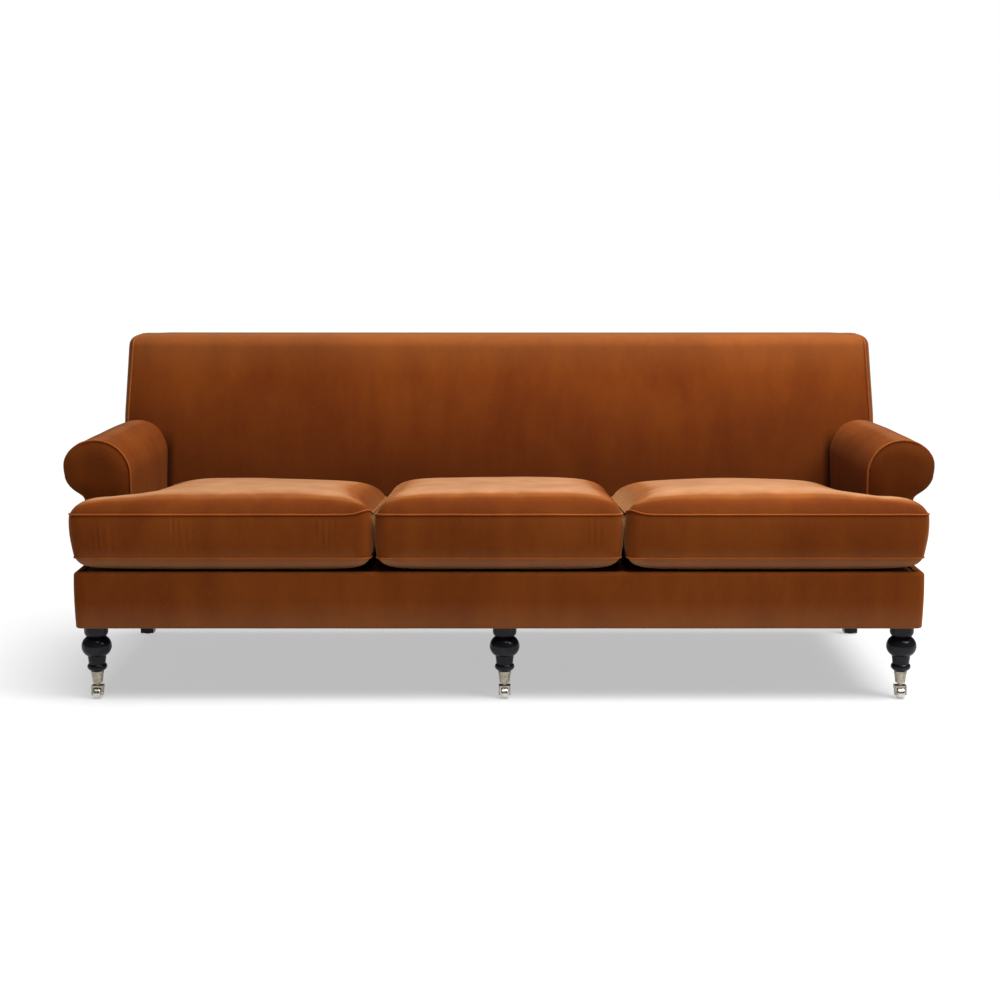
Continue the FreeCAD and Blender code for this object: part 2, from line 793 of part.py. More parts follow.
def rounded_wire(outline, z, tilt, notch=None):
    # Every corner takes the cushion's radius, but the notch round the arm has its own
    points = [V(x, y, z - tilt * (y - front_y)) for x, y in outline]
    count = len(points)
    ends = []
    for i, p in enumerate(points):
        before = points[i - 1] - p
        after = points[(i + 1) % count] - p
        before.normalize()
        after.normalize()
        radius = cushion_notch_radius if i == notch else cushion_corner_radius
        middle = p + (before + after) * radius * arc_mid_share
        ends.append((p + before * radius, middle, p + after * radius))
    edges = []
    for i in range(count):
        following = ends[(i + 1) % count]
        edges.append(arc(ends[i][0], ends[i][1], ends[i][2]))
        edges.append(line(ends[i][2], following[0]))
    return edges


def cushion_edges(kind, run, inner, z, tilt):
    # Outline at a height, pulled in by the run of the crown and by the depth under the surface
    inset = run + inner
    if kind == "middle":
        half = cushion_split_x - cushion_gap / 2 - inset
        y0 = front_y + inset
        y1 = cushion_rear_y - inset
        points = [(-half, y0), (half, y0), (half, y1), (-half, y1)]
        return rounded_wire(points, z, tilt)
    x0 = cushion_split_x + cushion_gap / 2 + inset
    x1 = arm_inner_x - cushion_side_gap - inset
    y0 = front_y + inset
    y1 = cushion_rear_y - inset
    if kind == "cap":
        return rounded_wire([(x0, y0), (x1, y0), (x1, y1), (x0, y1)], z, tilt)
    ear_x = cushion_ear_x - inset
    near_run = min(run, cushion_low_inset)
    ear_y = arm_front_y - cushion_ear_gap - inner - near_run - (run - near_run) * ear_rear_share
    points = [(x0, y0), (ear_x, y0), (ear_x, ear_y), (x1, ear_y), (x1, y1), (x0, y1)]
    return rounded_wire(points, z, tilt, points.index((x1, ear_y)))


def cushion_levels(inner):
    # Height, run and tilt of every level from the underside to the crown
    bottom = deck_height + layer_gap
    middle = (cushion_top_welt + cushion_low_welt) / 2
    top = cushion_top_welt + cushion_crown
    levels = []
    for height_share, run_share in zip(belly_height_shares[::-1], belly_run_shares[::-1]):
        z = cushion_low_welt - (cushion_low_welt - bottom) * height_share
        levels.append((z, cushion_low_inset + cushion_low_run * run_share, 0))
    levels.append((cushion_low_welt, cushion_low_inset, 0))
    levels.append((middle, 0, cushion_pitch_share / 2))
    for height_share, run_share in zip(crown_height_shares, crown_run_shares):
        z = cushion_top_welt + cushion_crown * height_share
        levels.append((z, cushion_top_inset + cushion_top_run * run_share, cushion_pitch_share))
    squeeze = 1 - inner * 2 / (top - bottom)
    centre = (top + bottom) / 2
    return [(centre + (z - centre) * squeeze, run, tilt) for z, run, tilt in levels]


def cushion_body(kind, inner):
    levels = cushion_levels(inner)
    split = len(levels) - len(crown_height_shares) + cap_level_count + 1
    lower = levels[:split]
    upper = levels[split - 1:]
    cap_kind = "cap" if kind == "end" else kind
    body_wires = [Part.Wire(cushion_edges(kind, run, inner, z, tilt)) for z, run, tilt in lower]
    cap_wires = [Part.Wire(cushion_edges(cap_kind, run, inner, z, tilt)) for z, run, tilt in upper]
    return Part.makeLoft(body_wires, True, True).fuse(Part.makeLoft(cap_wires, True, True))


def cushion_pieces(kind):
    # The sewn cover as underside, boxing, top and two welts, and the core inside it
    shell = cushion_body(kind, 0).cut(cushion_body(kind, cover_thickness))
    rear_y = -front_y
    seam = [(rear_y, cushion_top_welt - overall_depth * cushion_pitch_share), (front_y, cushion_top_welt)]
    under = [(front_y, cushion_low_welt), (rear_y, cushion_low_welt)]
    over = [(front_y, back_height), (rear_y, back_height)]
    low = box(-half_body, half_body, front_y, rear_y, 0, cushion_low_welt)
    middle = side_prism(under + seam, -half_body, half_body)
    high = side_prism(over + seam, -half_body, half_body)
    panels = [shell.common(zone) for zone in (low, middle, high)]
    welts = []
    for z, inset, tilt in ((cushion_low_welt, cushion_low_inset, 0),
                           (cushion_top_welt, cushion_top_inset, cushion_pitch_share)):
        off = inset - welt_radius - layer_gap
        welts.append(tube(cushion_edges(kind, off, 0, z, tilt), welt_radius))
    return panels + welts, cushion_body(kind, skin)


def make_cushions():
    cover, core = cushion_pieces("middle")
    export("cushion_middle_cover", cover)
    export("cushion_middle_core", [core])
    cover, core = cushion_pieces("end")
    export("cushion_right_cover", cover)
    export("cushion_right_core", [core])
    export("cushion_left_cover", [mirrored(piece) for piece in cover])
    export("cushion_left_core", [mirrored(core)])


# Legs and casters

def turned(points_and_arcs, x, y):
    # A turned piece from its half outline; a step is ("line", r, z) or ("arc", mid, end)
    edges = []
    start = here = V(points_and_arcs[0][1], 0, points_and_arcs[0][2])
    for step in points_and_arcs[1:]:
        if step[0] == "line":
            target = V(step[1], 0, step[2])
            edges.append(line(here, target))
        else:
            target = V(step[2][0], 0, step[2][1])
            edges.append(arc(here, V(step[1][0], 0, step[1][1]), target))
        here = target
    edges.append(line(here, start))
    solid = Part.Face(Part.Wire(edges)).revolve(V(0, 0, 0), V(0, 0, 1), math.degrees(math.pi) * 2)
    solid.translate(V(x, y, 0))
    return solid


def leg_outline():
    spigot_top_r = ferrule_top_radius - ferrule_wall - wood_clearance
    spigot_low_r = ferrule_bottom_radius - ferrule_wall - wood_clearance
    spigot_bottom = ferrule_bottom + ferrule_wall + layer_gap
    ring_side = (leg_ring_radius, leg_ring_height)
    return [
        ("line", 0, base_bottom),
        ("line", leg_flange_radius, base_bottom),
        ("line", leg_flange_radius, leg_flange_bottom),
        ("arc", (leg_cove_radius, (leg_flange_bottom + leg_neck_height) / 2),
         (leg_neck_radius, leg_neck_height)),
        ("arc", (leg_bulb_radius, leg_bulb_height), (leg_neck_radius, leg_bulb_bottom)),
        ("line", leg_waist_radius, leg_waist_height),
        ("arc", ring_side, (leg_ring_low_radius, leg_ring_bottom)),
        ("line", ferrule_top_radius, ferrule_top + layer_gap),
        ("line", spigot_top_r, ferrule_top + layer_gap),
        ("line", spigot_low_r, spigot_bottom),
        ("line", 0, spigot_bottom),
    ]


def ferrule_outline():
    collar_bottom = ferrule_top - ferrule_collar_height
    floor_top = ferrule_bottom + ferrule_wall
    hole = stem_radius + running_clearance
    return [
        ("line", hole, ferrule_bottom),
        ("line", ferrule_bottom_radius, ferrule_bottom),
        ("line", ferrule_top_radius, collar_bottom),
        ("line", ferrule_collar_radius, collar_bottom),
        ("line", ferrule_collar_radius, ferrule_top),
        ("line", ferrule_top_radius - ferrule_wall, ferrule_top),
        ("line", ferrule_bottom_radius - ferrule_wall, floor_top),
        ("line", hole, floor_top),
    ]


def make_front_legs():
    front, rear = leg_places()
    ferrules = []
    for (x, y), side in zip(front, ("left", "centre", "right")):
        leg = cut_all(turned(leg_outline(), x, y), bolt_holes)
        socket = Part.makeCylinder(stem_radius + running_clearance, stem_top + layer_gap, V(x, y, 0))
        export("front_leg_" + side, [leg.cut(socket)])
        ferrules.append(turned(ferrule_outline(), x, y))
        make_caster(x, y, side)
    export("leg_ferrules", ferrules)
    export("leg_bolts", leg_bolts(0))


def make_caster(x, y, side):
    across = V(1, 0, 0)
    wheel_y = y - wheel_trail
    half = fork_width / 2
    plate = box(x - half, x + half, y - fork_plate_depth / 2, y + fork_plate_depth / 2,
                fork_plate_bottom, fork_plate_top)
    fork = plate
    for x0 in (x - half, x + half - fork_arm_thickness):
        tip = Part.makeCylinder(fork_tip_radius, fork_arm_thickness, V(x0, wheel_y, wheel_radius), across)
        points = [(wheel_y - fork_tip_radius, wheel_radius), (wheel_y + fork_tip_radius, wheel_radius),
                  (y + fork_plate_depth / 2, fork_plate_bottom),
                  (y - fork_plate_depth / 2, fork_plate_bottom)]
        arm = side_prism(points, x0, x0 + fork_arm_thickness)
        fork = fork.fuse(arm).fuse(tip)
    boss = Part.makeCylinder(fork_boss_radius, fork_boss_top - fork_plate_top, V(x, y, fork_plate_top))
    stem = Part.makeCylinder(stem_radius, stem_top - fork_plate_top, V(x, y, fork_plate_top))
    fork = fork.fuse(boss).fuse(stem).removeSplitter()
    length = fork_width + axle_head_thickness * 2
    bore = Part.makeCylinder(axle_radius + running_clearance, length + cut_overrun,
                             V(x - half - cut_overrun / 2, wheel_y, wheel_radius), across)
    export("caster_fork_" + side, [fork.cut(bore)])
    axle = Part.makeCylinder(axle_radius, length, V(x - length / 2, wheel_y, wheel_radius), across)
    for x0 in (x - length / 2, x + half):
        head_centre = V(x0, wheel_y, wheel_radius)
        head = Part.makeCylinder(axle_head_radius, axle_head_thickness, head_centre, across)
        axle = axle.fuse(head)
    export("caster_axle_" + side, [axle.removeSplitter()])
    wheel_side = V(x - wheel_width / 2, wheel_y, wheel_radius)
    wheel = Part.makeCylinder(wheel_radius, wheel_width, wheel_side, across)
    rims = [e for e in wheel.Edges if e.BoundBox.XLength < layer_gap]
    wheel = wheel.makeFillet(wheel_edge_radius, rims)
    export("caster_wheel_" + side, [wheel.cut(bore)])


def make_rear_legs():
    front, rear = leg_places()
    glides = []
    for (x, y), side in zip(rear, ("left", "right")):
        wires = []
        for z, width in ((glide_height, rear_leg_foot_side), (base_bottom, rear_leg_top_side)):
            h = width / 2
            corners = [V(x - h, y - h, z), V(x + h, y - h, z), V(x + h, y + h, z), V(x - h, y + h, z)]
            wires.append(Part.makePolygon(corners + [corners[0]]))
        leg = Part.makeLoft(wires, True, True)
        export("rear_leg_" + side, [cut_all(leg, bolt_holes)])
        glides.append(Part.makeCylinder(glide_radius, glide_height, V(x, y, 0)))
    export("rear_glides", glides)


make_base_frame()
make_blocks()
make_arm_frame()
make_back_frame()
export("frame_screws", frame_screws(0))
make_springs()
make_pads()
make_base_covers()
make_arm_covers()
make_back_covers()
make_welts()
make_cushions()
make_front_legs()
make_rear_legs()
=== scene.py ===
import json
import math

import bmesh
import bpy
import numpy as np
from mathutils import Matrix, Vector, noise


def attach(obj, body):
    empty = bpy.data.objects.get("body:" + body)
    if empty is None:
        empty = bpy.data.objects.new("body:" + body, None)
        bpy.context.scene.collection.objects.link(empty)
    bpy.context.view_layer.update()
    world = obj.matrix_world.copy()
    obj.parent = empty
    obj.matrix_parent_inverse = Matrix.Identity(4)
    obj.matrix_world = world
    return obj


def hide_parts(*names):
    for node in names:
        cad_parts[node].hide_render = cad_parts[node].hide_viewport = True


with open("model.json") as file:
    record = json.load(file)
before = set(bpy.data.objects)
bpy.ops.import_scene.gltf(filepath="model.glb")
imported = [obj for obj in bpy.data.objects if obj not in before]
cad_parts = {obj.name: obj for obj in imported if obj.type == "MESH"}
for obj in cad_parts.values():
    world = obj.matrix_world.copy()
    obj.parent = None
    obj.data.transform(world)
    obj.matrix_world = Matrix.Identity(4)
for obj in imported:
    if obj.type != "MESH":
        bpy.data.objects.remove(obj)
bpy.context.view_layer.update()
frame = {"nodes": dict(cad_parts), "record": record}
scene = bpy.context.scene


# Node helpers: a signal is one output socket, and a graph is one node tree

def arithmetic(kind, swapped=False):
    def combine(signal, other):
        pair = {0: other, 1: signal} if swapped else {0: signal, 1: other}
        return signal.graph.add("ShaderNodeMath", pair, operation=kind)
    return combine


class Signal:
    def __init__(self, graph, socket):
        self.graph = graph
        self.socket = socket

    def output(self, name):
        return Signal(self.graph, self.socket.node.outputs[name])

    __add__ = __radd__ = arithmetic("ADD")
    __sub__ = arithmetic("SUBTRACT")
    __rsub__ = arithmetic("SUBTRACT", True)
    __mul__ = __rmul__ = arithmetic("MULTIPLY")


class Graph:
    def __init__(self, tree):
        self.tree = tree

    def add(self, kind, sockets=None, output=0, **settings):
        node = self.tree.nodes.new(kind)
        for key, value in settings.items():
            setattr(node, key, value)
        for key, value in (sockets or {}).items():
            if isinstance(value, Signal):
                self.tree.links.new(value.socket, node.inputs[key])
            else:
                node.inputs[key].default_value = value
        return Signal(self, node.outputs[output] if node.outputs else None)

    def blend(self, share, first, second):
        # A colour is a signal, or its red, green and blue
        first, second = [(*c, 1.0) if isinstance(c, tuple) else c for c in (first, second)]
        return self.add("ShaderNodeMix", {0: share, 6: first, 7: second}, 2, data_type="RGBA")


class Finish(Graph):
    # A material with one Principled shader, whose fixed values are set on its own sockets
    def __init__(self, name, **fixed):
        self.material = bpy.data.materials.new(name)
        self.material.use_nodes = True
        super().__init__(self.material.node_tree)
        self.shader = self.tree.nodes["Principled BSDF"]
        for key, value in fixed.items():
            self.shader.inputs[key.replace("_", " ")].default_value = value
        self.place = self.add("ShaderNodeTexCoord").output("Object")

    def feed(self, **links):
        for key, signal in links.items():
            self.tree.links.new(signal.socket, self.shader.inputs[key.replace("_", " ")])
        return self.material

    def stretched(self, *scale):
        return self.add("ShaderNodeMapping", {"Vector": self.place, "Scale": scale})

    def axisOf(self, place, axis):
        return self.add("ShaderNodeSeparateXYZ", {0: place}, axis)

    def cloud(self, place, scale, detail=2.0, rough=0.5):
        sockets = {"Vector": place, "Scale": scale, "Detail": detail, "Roughness": rough}
        return self.add("ShaderNodeTexNoise", sockets)

    def wave(self, place, scale, distortion, detail, way="X"):
        sockets = {"Vector": place, "Scale": scale, "Distortion": distortion, "Detail": detail}
        return self.add("ShaderNodeTexWave", sockets, bands_direction=way)

    def spread(self, signal, low, high, toLow=0.0, toHigh=1.0):
        return self.add("ShaderNodeMapRange", {0: signal, 1: low, 2: high, 3: toLow, 4: toHigh})

    def bump(self, height, strength, distance, under=None):
        sockets = {"Height": height, "Strength": strength, "Distance": distance}
        if under is not None:
            sockets["Normal"] = under
        return self.add("ShaderNodeBump", sockets)


# Finishes

velvetBook = {
    "deep": (0.108, 0.0205, 0.0024), "warm": (0.174, 0.0410, 0.0056), "lit": (0.23, 0.062, 0.010),
    # The three pale colours on the next line are painted sheen and painted highlight on the velvet, the
    # third also lightening the base's lower edge; the two dark colours on the line after are painted shade,
    # and the light brown after them is painted light at the top of the back
    "paintedSheenTone": (0.50, 0.19, 0.055), "paintedHighlight": (0.75, 0.50, 0.30), "paleTone": (0.63, 0.38, 0.21),
    "shaded": (0.03, 0.005, 0.0006), "creaseShadow": (0.012, 0.002, 0.0003), "paintedTopLight": (0.26, 0.110, 0.038),
    "sheenTint": (1.0, 0.54, 0.23, 1.0), "sheenRoughness": 0.36, "specular": 0.04,
    "patchScale": 2.6, "strokeScale": 11.0, "streakScale": 26.0, "napScale": 620.0,
    "paintedSheenShare": 0.62, "paintedHighlightShare": 0.58, "paintedTopLightShare": 0.22, "creaseShadowShare": 0.8,
    "creaseAcross": (0.812, 0.843), "creaseHeight": (0.605, 0.545), "hemHeight": (0.255, 0.195),
    "boxingLow": (0.37, 0.40), "boxingHigh": (0.47, 0.45), "foldScale": 19.0, "foldDepth": 0.0035,
}


def velvetFinish(name, tone=1.0, sheen=1.0, paintedSheen=0.0, paintedSheenFrom=0.86, belly=0.0, lipShade=0.0, hem=0.0,
                 heightShade=None, gather=False):
    # paintedSheen lightens the nap where a face looks up, as painted sheen and painted highlight,
    # and belly lightens it where a face looks down, as painted sheen; lipShade is painted shade on
    # the slope above a cushion's seam; hem lightens the base's lower edge; heightShade is the height
    # where the painted shade is darkest, the height where it is lightest, and how much it darkens;
    # gather puckers a cushion's boxing
    b = velvetBook
    finish = Finish(name, Sheen_Weight=sheen, Sheen_Roughness=b["sheenRoughness"],
                    Sheen_Tint=b["sheenTint"], Specular_IOR_Level=b["specular"])
    blend, cloud, spread, stretched = finish.blend, finish.cloud, finish.spread, finish.stretched
    deep, warm, lit = [tuple(c * tone for c in b[key]) for key in ("deep", "warm", "lit")]
    patches = cloud(finish.place, b["patchScale"], 3.0)
    strokes = cloud(stretched(1.0, 1.0, 0.35), b["strokeScale"], 4.0, 0.6)
    streaks = cloud(stretched(1.0, 1.0, 0.12), b["streakScale"], 3.0, 0.6)
    nap = cloud(stretched(1.0, 1.0, 0.4), b["napScale"])
    stroked = spread(patches, 0.36, 0.66) * 0.45 + spread(strokes, 0.38, 0.66) * 0.4
    colour = blend(stroked + spread(streaks, 0.36, 0.66) * 0.15, deep, warm)
    colour = blend(spread(nap, 0.5, 0.75) * 0.3, colour, lit)
    height = finish.axisOf(finish.place, 2)
    # Painted sheen and painted highlight: faces that look up are lightened in two steps toward pale peach,
    # standing in for light from above and velvet sheen
    if paintedSheen:
        up = finish.axisOf(finish.add("ShaderNodeNewGeometry").output("Normal"), 2)
        uneven = 0.85 + spread(strokes, 0.35, 0.7) * 0.3
        crest = spread(up, paintedSheenFrom, 0.985) * uneven
        colour = blend(crest * (paintedSheen * b["paintedSheenShare"]), colour, b["paintedSheenTone"])
        crest = spread(up, 0.96, 0.9998) * uneven
        colour = blend(crest * (paintedSheen * b["paintedHighlightShare"]), colour, b["paintedHighlight"])
        # Painted sheen: faces that look down, such as a cushion's belly, are lightened toward a pale tone
        colour = blend(spread(up, -0.2, -0.7) * belly, colour, b["paleTone"])
        # Painted shade darkens the steep slope above a cushion's seam, which gets less light from above
        if lipShade:
            slope = spread(up, 0.08, 0.3) * (1.0 - spread(up, 0.70, 0.93))
            colour = blend(slope * lipShade, colour, b["shaded"])
    # Painted shade darkens the face towards its lower part
    if heightShade:
        low, high, darken = heightShade
        colour = blend((1.0 - spread(height, low, high)) * darken, colour, b["shaded"])
        # Painted light lightens the face near its top
        upper = spread(height, high - 0.08, high + 0.03)
        colour = blend(upper * b["paintedTopLightShare"], colour, b["paintedTopLight"])
        # Painted shadow darkens the crease between the back and each arm
        across = finish.axisOf(finish.place, 0)
        crease = spread(across * across, *b["creaseAcross"]) * spread(height, *b["creaseHeight"])
        colour = blend(crease * b["creaseShadowShare"], colour, b["creaseShadow"])
    if hem:
        colour = blend(spread(height, *b["hemHeight"]) * hem, colour, b["paleTone"])
    soft = finish.bump(strokes, 0.12, 0.004)
    if gather:
        where = spread(cloud(stretched(1.0, 0.2, 0.5), 7.5), 0.56, 0.70)
        between = spread(height, *b["boxingLow"]) * spread(height, *b["boxingHigh"])
        folds = finish.wave(stretched(1.0, 0.0, 0.12), b["foldScale"], 5.0, 2.0)
        soft = finish.bump(folds * where * between, 0.7, b["foldDepth"], soft)
    return finish.feed(Base_Color=colour, Roughness=spread(strokes, 0.3, 0.7, 0.78, 0.95),
                       Normal=finish.bump(nap, 0.25, 0.0006, soft))


def lacquerFinish(name, dark, light):
    finish = Finish(name, Coat_Roughness=0.10, Specular_IOR_Level=0.04)
    grain = finish.cloud(finish.stretched(60.0, 60.0, 6.0), 3.0, 4.0, 0.6)
    haze = finish.cloud(finish.place, 35.0, 3.0)
    return finish.feed(Base_Color=finish.blend(finish.spread(haze, 0.3, 0.75), dark, light),
                       Roughness=finish.spread(haze, 0.3, 0.7, 0.3, 0.45),
                       Coat_Weight=finish.spread(haze, 0.2, 0.8, 0.22, 0.34),
                       Normal=finish.bump(grain, 0.05, 0.0004))


def metalFinish(name, dark, light, roughLow, roughHigh, scale=140.0):
    finish = Finish(name, Metallic=1.0)
    stain = finish.cloud(finish.place, scale, 5.0, 0.65)
    fine = finish.cloud(finish.place, scale * 6.0)
    return finish.feed(Base_Color=finish.blend(finish.spread(stain, 0.35, 0.65), dark, light),
                       Roughness=finish.spread(stain, 0.3, 0.7, roughLow, roughHigh),
                       Normal=finish.bump(fine, 0.08, 0.0002))


def woodFinish(name, dark, light, pore):
    finish = Finish(name, Specular_IOR_Level=0.3)
    warp = finish.cloud(finish.place, 4.0, 3.0)
    rings = finish.wave(finish.stretched(0.6, 3.0, 3.0), 9.0, 7.0, 3.0, "DIAGONAL")
    pores = finish.cloud(finish.stretched(6.0, 90.0, 90.0), 8.0)
    shade = finish.spread(rings, 0.1, 0.9) * 0.6 + finish.spread(warp, 0.35, 0.65) * 0.4
    colour = finish.blend(shade, dark, light)
    colour = finish.blend(finish.spread(pores, 0.55, 0.75) * 0.4, colour, pore)
    return finish.feed(Base_Color=colour, Roughness=finish.spread(pores, 0.3, 0.7, 0.55, 0.75),
                       Normal=finish.bump(pores, 0.2, 0.0005))


def wovenFinish(name, dark, light, scale):
    finish = Finish(name, Specular_IOR_Level=0.2)
    warp, weft = [finish.wave(finish.place, scale, 0.6, 1.0, way) for way in "XY"]
    weave = warp * weft
    slub = finish.cloud(finish.place, 22.0, 4.0)
    colour = finish.blend(weave * 0.6 + finish.spread(slub, 0.3, 0.7) * 0.4, dark, light)
    return finish.feed(Base_Color=colour, Roughness=finish.spread(slub, 0.3, 0.7, 0.8, 0.95),
                       Normal=finish.bump(weave, 0.35, 0.0006))


def foamFinish(name, dark, light):
    finish = Finish(name, Specular_IOR_Level=0.15)
    cells = finish.add("ShaderNodeTexVoronoi", {"Vector": finish.place, "Scale": 420.0})
    tint = finish.cloud(finish.place, 6.0, 3.0)
    return finish.feed(Base_Color=finish.blend(finish.spread(tint, 0.3, 0.7), dark, light),
                       Roughness=finish.spread(cells, 0.0, 0.8, 0.85, 1.0),
                       Normal=finish.bump(cells, 0.3, 0.001))


slotFinish = {
    "velvet": velvetFinish("rustVelvet", 0.86, 0.4, hem=0.06),
    "black_lacquer": lacquerFinish("blackLacquer", (0.004, 0.004, 0.007), (0.009, 0.009, 0.013)),
    "antique_nickel": metalFinish("antiqueNickel", (0.23, 0.20, 0.14), (0.44, 0.41, 0.33), 0.24, 0.42),
    "bright_nickel": metalFinish("brightNickel", (0.52, 0.49, 0.43), (0.72, 0.70, 0.64), 0.14, 0.3),
    "spring_steel": metalFinish("oiledSteel", (0.12, 0.12, 0.13), (0.30, 0.30, 0.32), 0.3, 0.5, 60.0),
    "zinc_steel": metalFinish("zincSteel", (0.42, 0.42, 0.40), (0.66, 0.66, 0.64), 0.25, 0.45, 90.0),
    "frame_wood": woodFinish("frameWood", (0.42, 0.27, 0.14), (0.66, 0.48, 0.29), (0.25, 0.15, 0.07)),
    "former_board": wovenFinish("formerBoard", (0.24, 0.17, 0.10), (0.42, 0.32, 0.21), 60.0),
    "deck_cloth": wovenFinish("deckCloth", (0.12, 0.035, 0.010), (0.24, 0.085, 0.03), 260.0),
    "dust_cloth": wovenFinish("dustCloth", (0.010, 0.010, 0.010), (0.035, 0.035, 0.035), 180.0),
    "foam": foamFinish("seatFoam", (0.72, 0.66, 0.46), (0.86, 0.82, 0.64)),
    "glide_plastic": foamFinish("glideNylon", (0.02, 0.02, 0.02), (0.05, 0.05, 0.05)),
}
# Copies of the same rust velvet for each part, whose tones differ as painted light and shade: the back and
# welt copies are lighter and the panel copy darker. The seat and arm copies add painted sheen on up-facing
# faces, the seat also painted shade above its seam and painted sheen on its underside; the back copy adds
# painted shade low down, painted light near the top and a painted shadow in the creases by the arms; the
# welt copy is lightened nearly all round as a painted highlight
seatVelvet = velvetFinish("seatVelvet", 0.94, 0.38, paintedSheen=0.39, belly=0.15, lipShade=0.25, gather=True)
backVelvet = velvetFinish("backVelvet", 1.16, 0.5, heightShade=(0.46, 0.83, 0.64))
armVelvet = velvetFinish("armVelvet", 0.84, 0.03, paintedSheen=0.072, paintedSheenFrom=0.55)
panelVelvet = velvetFinish("panelVelvet", 0.70, 0.2)
weltVelvet = velvetFinish("weltVelvet", 1.45, 0.5, paintedSheen=0.22, paintedSheenFrom=-0.5)
zipTape = wovenFinish("zipTape", (0.07, 0.018, 0.004), (0.13, 0.035, 0.008), 420.0)
zipMetal = metalFinish("zipMetal", (0.20, 0.12, 0.05), (0.42, 0.28, 0.13), 0.28, 0.45, 300.0)
for part in frame["record"]["subparts"]:
    coats = frame["nodes"][part["node"]].data.materials
    coats.clear()
    coats.append(slotFinish[part["material_slot"]])
print("finishes made:", len(slotFinish))


# Mesh helpers

def placed(name, data):
    thing = bpy.data.objects.new(name, data)
    scene.collection.objects.link(thing)
    return thing


def makePiece(name, points, faces):
    mesh = bpy.data.meshes.new(name)
    mesh.from_pydata([tuple(float(c) for c in p) for p in points], [], faces)
    mesh.validate()
    return placed(name, mesh)


def weld(piece, gap=0.00002):
    shape = bmesh.new()
    shape.from_mesh(piece.data)
    bmesh.ops.remove_doubles(shape, verts=shape.verts, dist=gap)
    bmesh.ops.dissolve_degenerate(shape, edges=shape.edges, dist=gap)
    shape.to_mesh(piece.data)
    shape.free()


def gridPiece(name, *grids):
    # Each grid is a list of rows of points; touching edges are welded
    points = []
    faces = []
    for grid in grids:
        columns = len(grid[0])
        for r in range(len(grid) - 1):
            for c in range(columns - 1):
                a = len(points) + r * columns + c
                faces.append((a, a + 1, a + 1 + columns, a + columns))
        points += [p for row in grid for p in row]
    piece = makePiece(name, points, faces)
    weld(piece)
    return piece


def turnOut(piece, direction):
    # Faces of an open sheet are turned so that most of them look along the direction
    shape = bmesh.new()
    shape.from_mesh(piece.data)
    bmesh.ops.recalc_face_normals(shape, faces=shape.faces)
    lean = sum(face.normal.dot(Vector(direction)) * face.calc_area() for face in shape.faces)
    if lean < 0:
        bmesh.ops.reverse_faces(shape, faces=shape.faces)
    shape.to_mesh(piece.data)
    shape.free()


def settled(piece):
    graph = bpy.context.evaluated_depsgraph_get()
    return bpy.data.meshes.new_from_object(piece.evaluated_get(graph))


def settleModifiers(piece):
    mesh = settled(piece)
    piece.modifiers.clear()
    piece.data = mesh


def refine(piece, levels):
    smooth = piece.modifiers.new("smooth", "SUBSURF")
    smooth.levels = smooth.render_levels = levels


def thicken(piece, thickness, direction, levels=0):
    turnOut(piece, direction)
    if levels:
        refine(piece, levels)
    wall = piece.modifiers.new("wall", "SOLIDIFY")
    wall.thickness = thickness
    wall.offset = -1.0
    wall.use_even_offset = True
    wall.thickness_clamp = 2.0
    settleModifiers(piece)


def dress(piece, body, slot, *replaced, finish=None):
    piece.data.materials.clear()
    piece.data.materials.append(finish or slotFinish[slot])
    piece.data.shade_smooth()
    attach(piece, body)
    if replaced:
        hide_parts(*replaced)


def ripple(x, y, z, scale, amount):
    return amount * noise.noise(Vector((x * scale, y * scale, z * scale)))


def steps(low, high, size):
    return list(np.linspace(low, high, max(2, round((high - low) / size) + 1)))


def shares(count):
    return [i / count for i in range(count + 1)]


def quarter(count, first=1):
    # Sine and cosine at even places along a quarter turn
    angles = [share * math.pi / 2 for share in shares(count)[first:]]
    return [(math.sin(angle), math.cos(angle)) for angle in angles]


def clamp(value):
    return min(1.0, max(0.0, value))


# Geometry Nodes: a tree that grows something along the curves of its source object

def openTree(name, **inputs):
    tree = bpy.data.node_groups.new(name, "GeometryNodeTree")
    tree.is_modifier = True
    tree.interface.new_socket("Path", in_out="INPUT", socket_type="NodeSocketGeometry")
    tree.interface.new_socket("Grown", in_out="OUTPUT", socket_type="NodeSocketGeometry")
    for title, kind in dict(inputs, Finish="Material").items():
        tree.interface.new_socket(title, in_out="INPUT", socket_type="NodeSocket" + kind)
    graph = Graph(tree)
    return graph, graph.add("NodeGroupInput")


def evenly(graph, given, length):
    sockets = {"Curve": given.output("Path"), "Length": given.output(length)}
    return graph.add("GeometryNodeResampleCurve", sockets, mode="LENGTH")


def closeTree(graph, given, shape):
    plain = graph.add("GeometryNodeRealizeInstances", {"Geometry": shape})
    sockets = {"Geometry": plain, "Material": given.output("Finish")}
    graph.add("NodeGroupOutput", {0: graph.add("GeometryNodeSetMaterial", sockets)})
    return graph.tree


def scaled(graph, vector, factor):
    return graph.add("ShaderNodeVectorMath", {0: vector, "Scale": factor}, operation="SCALE")


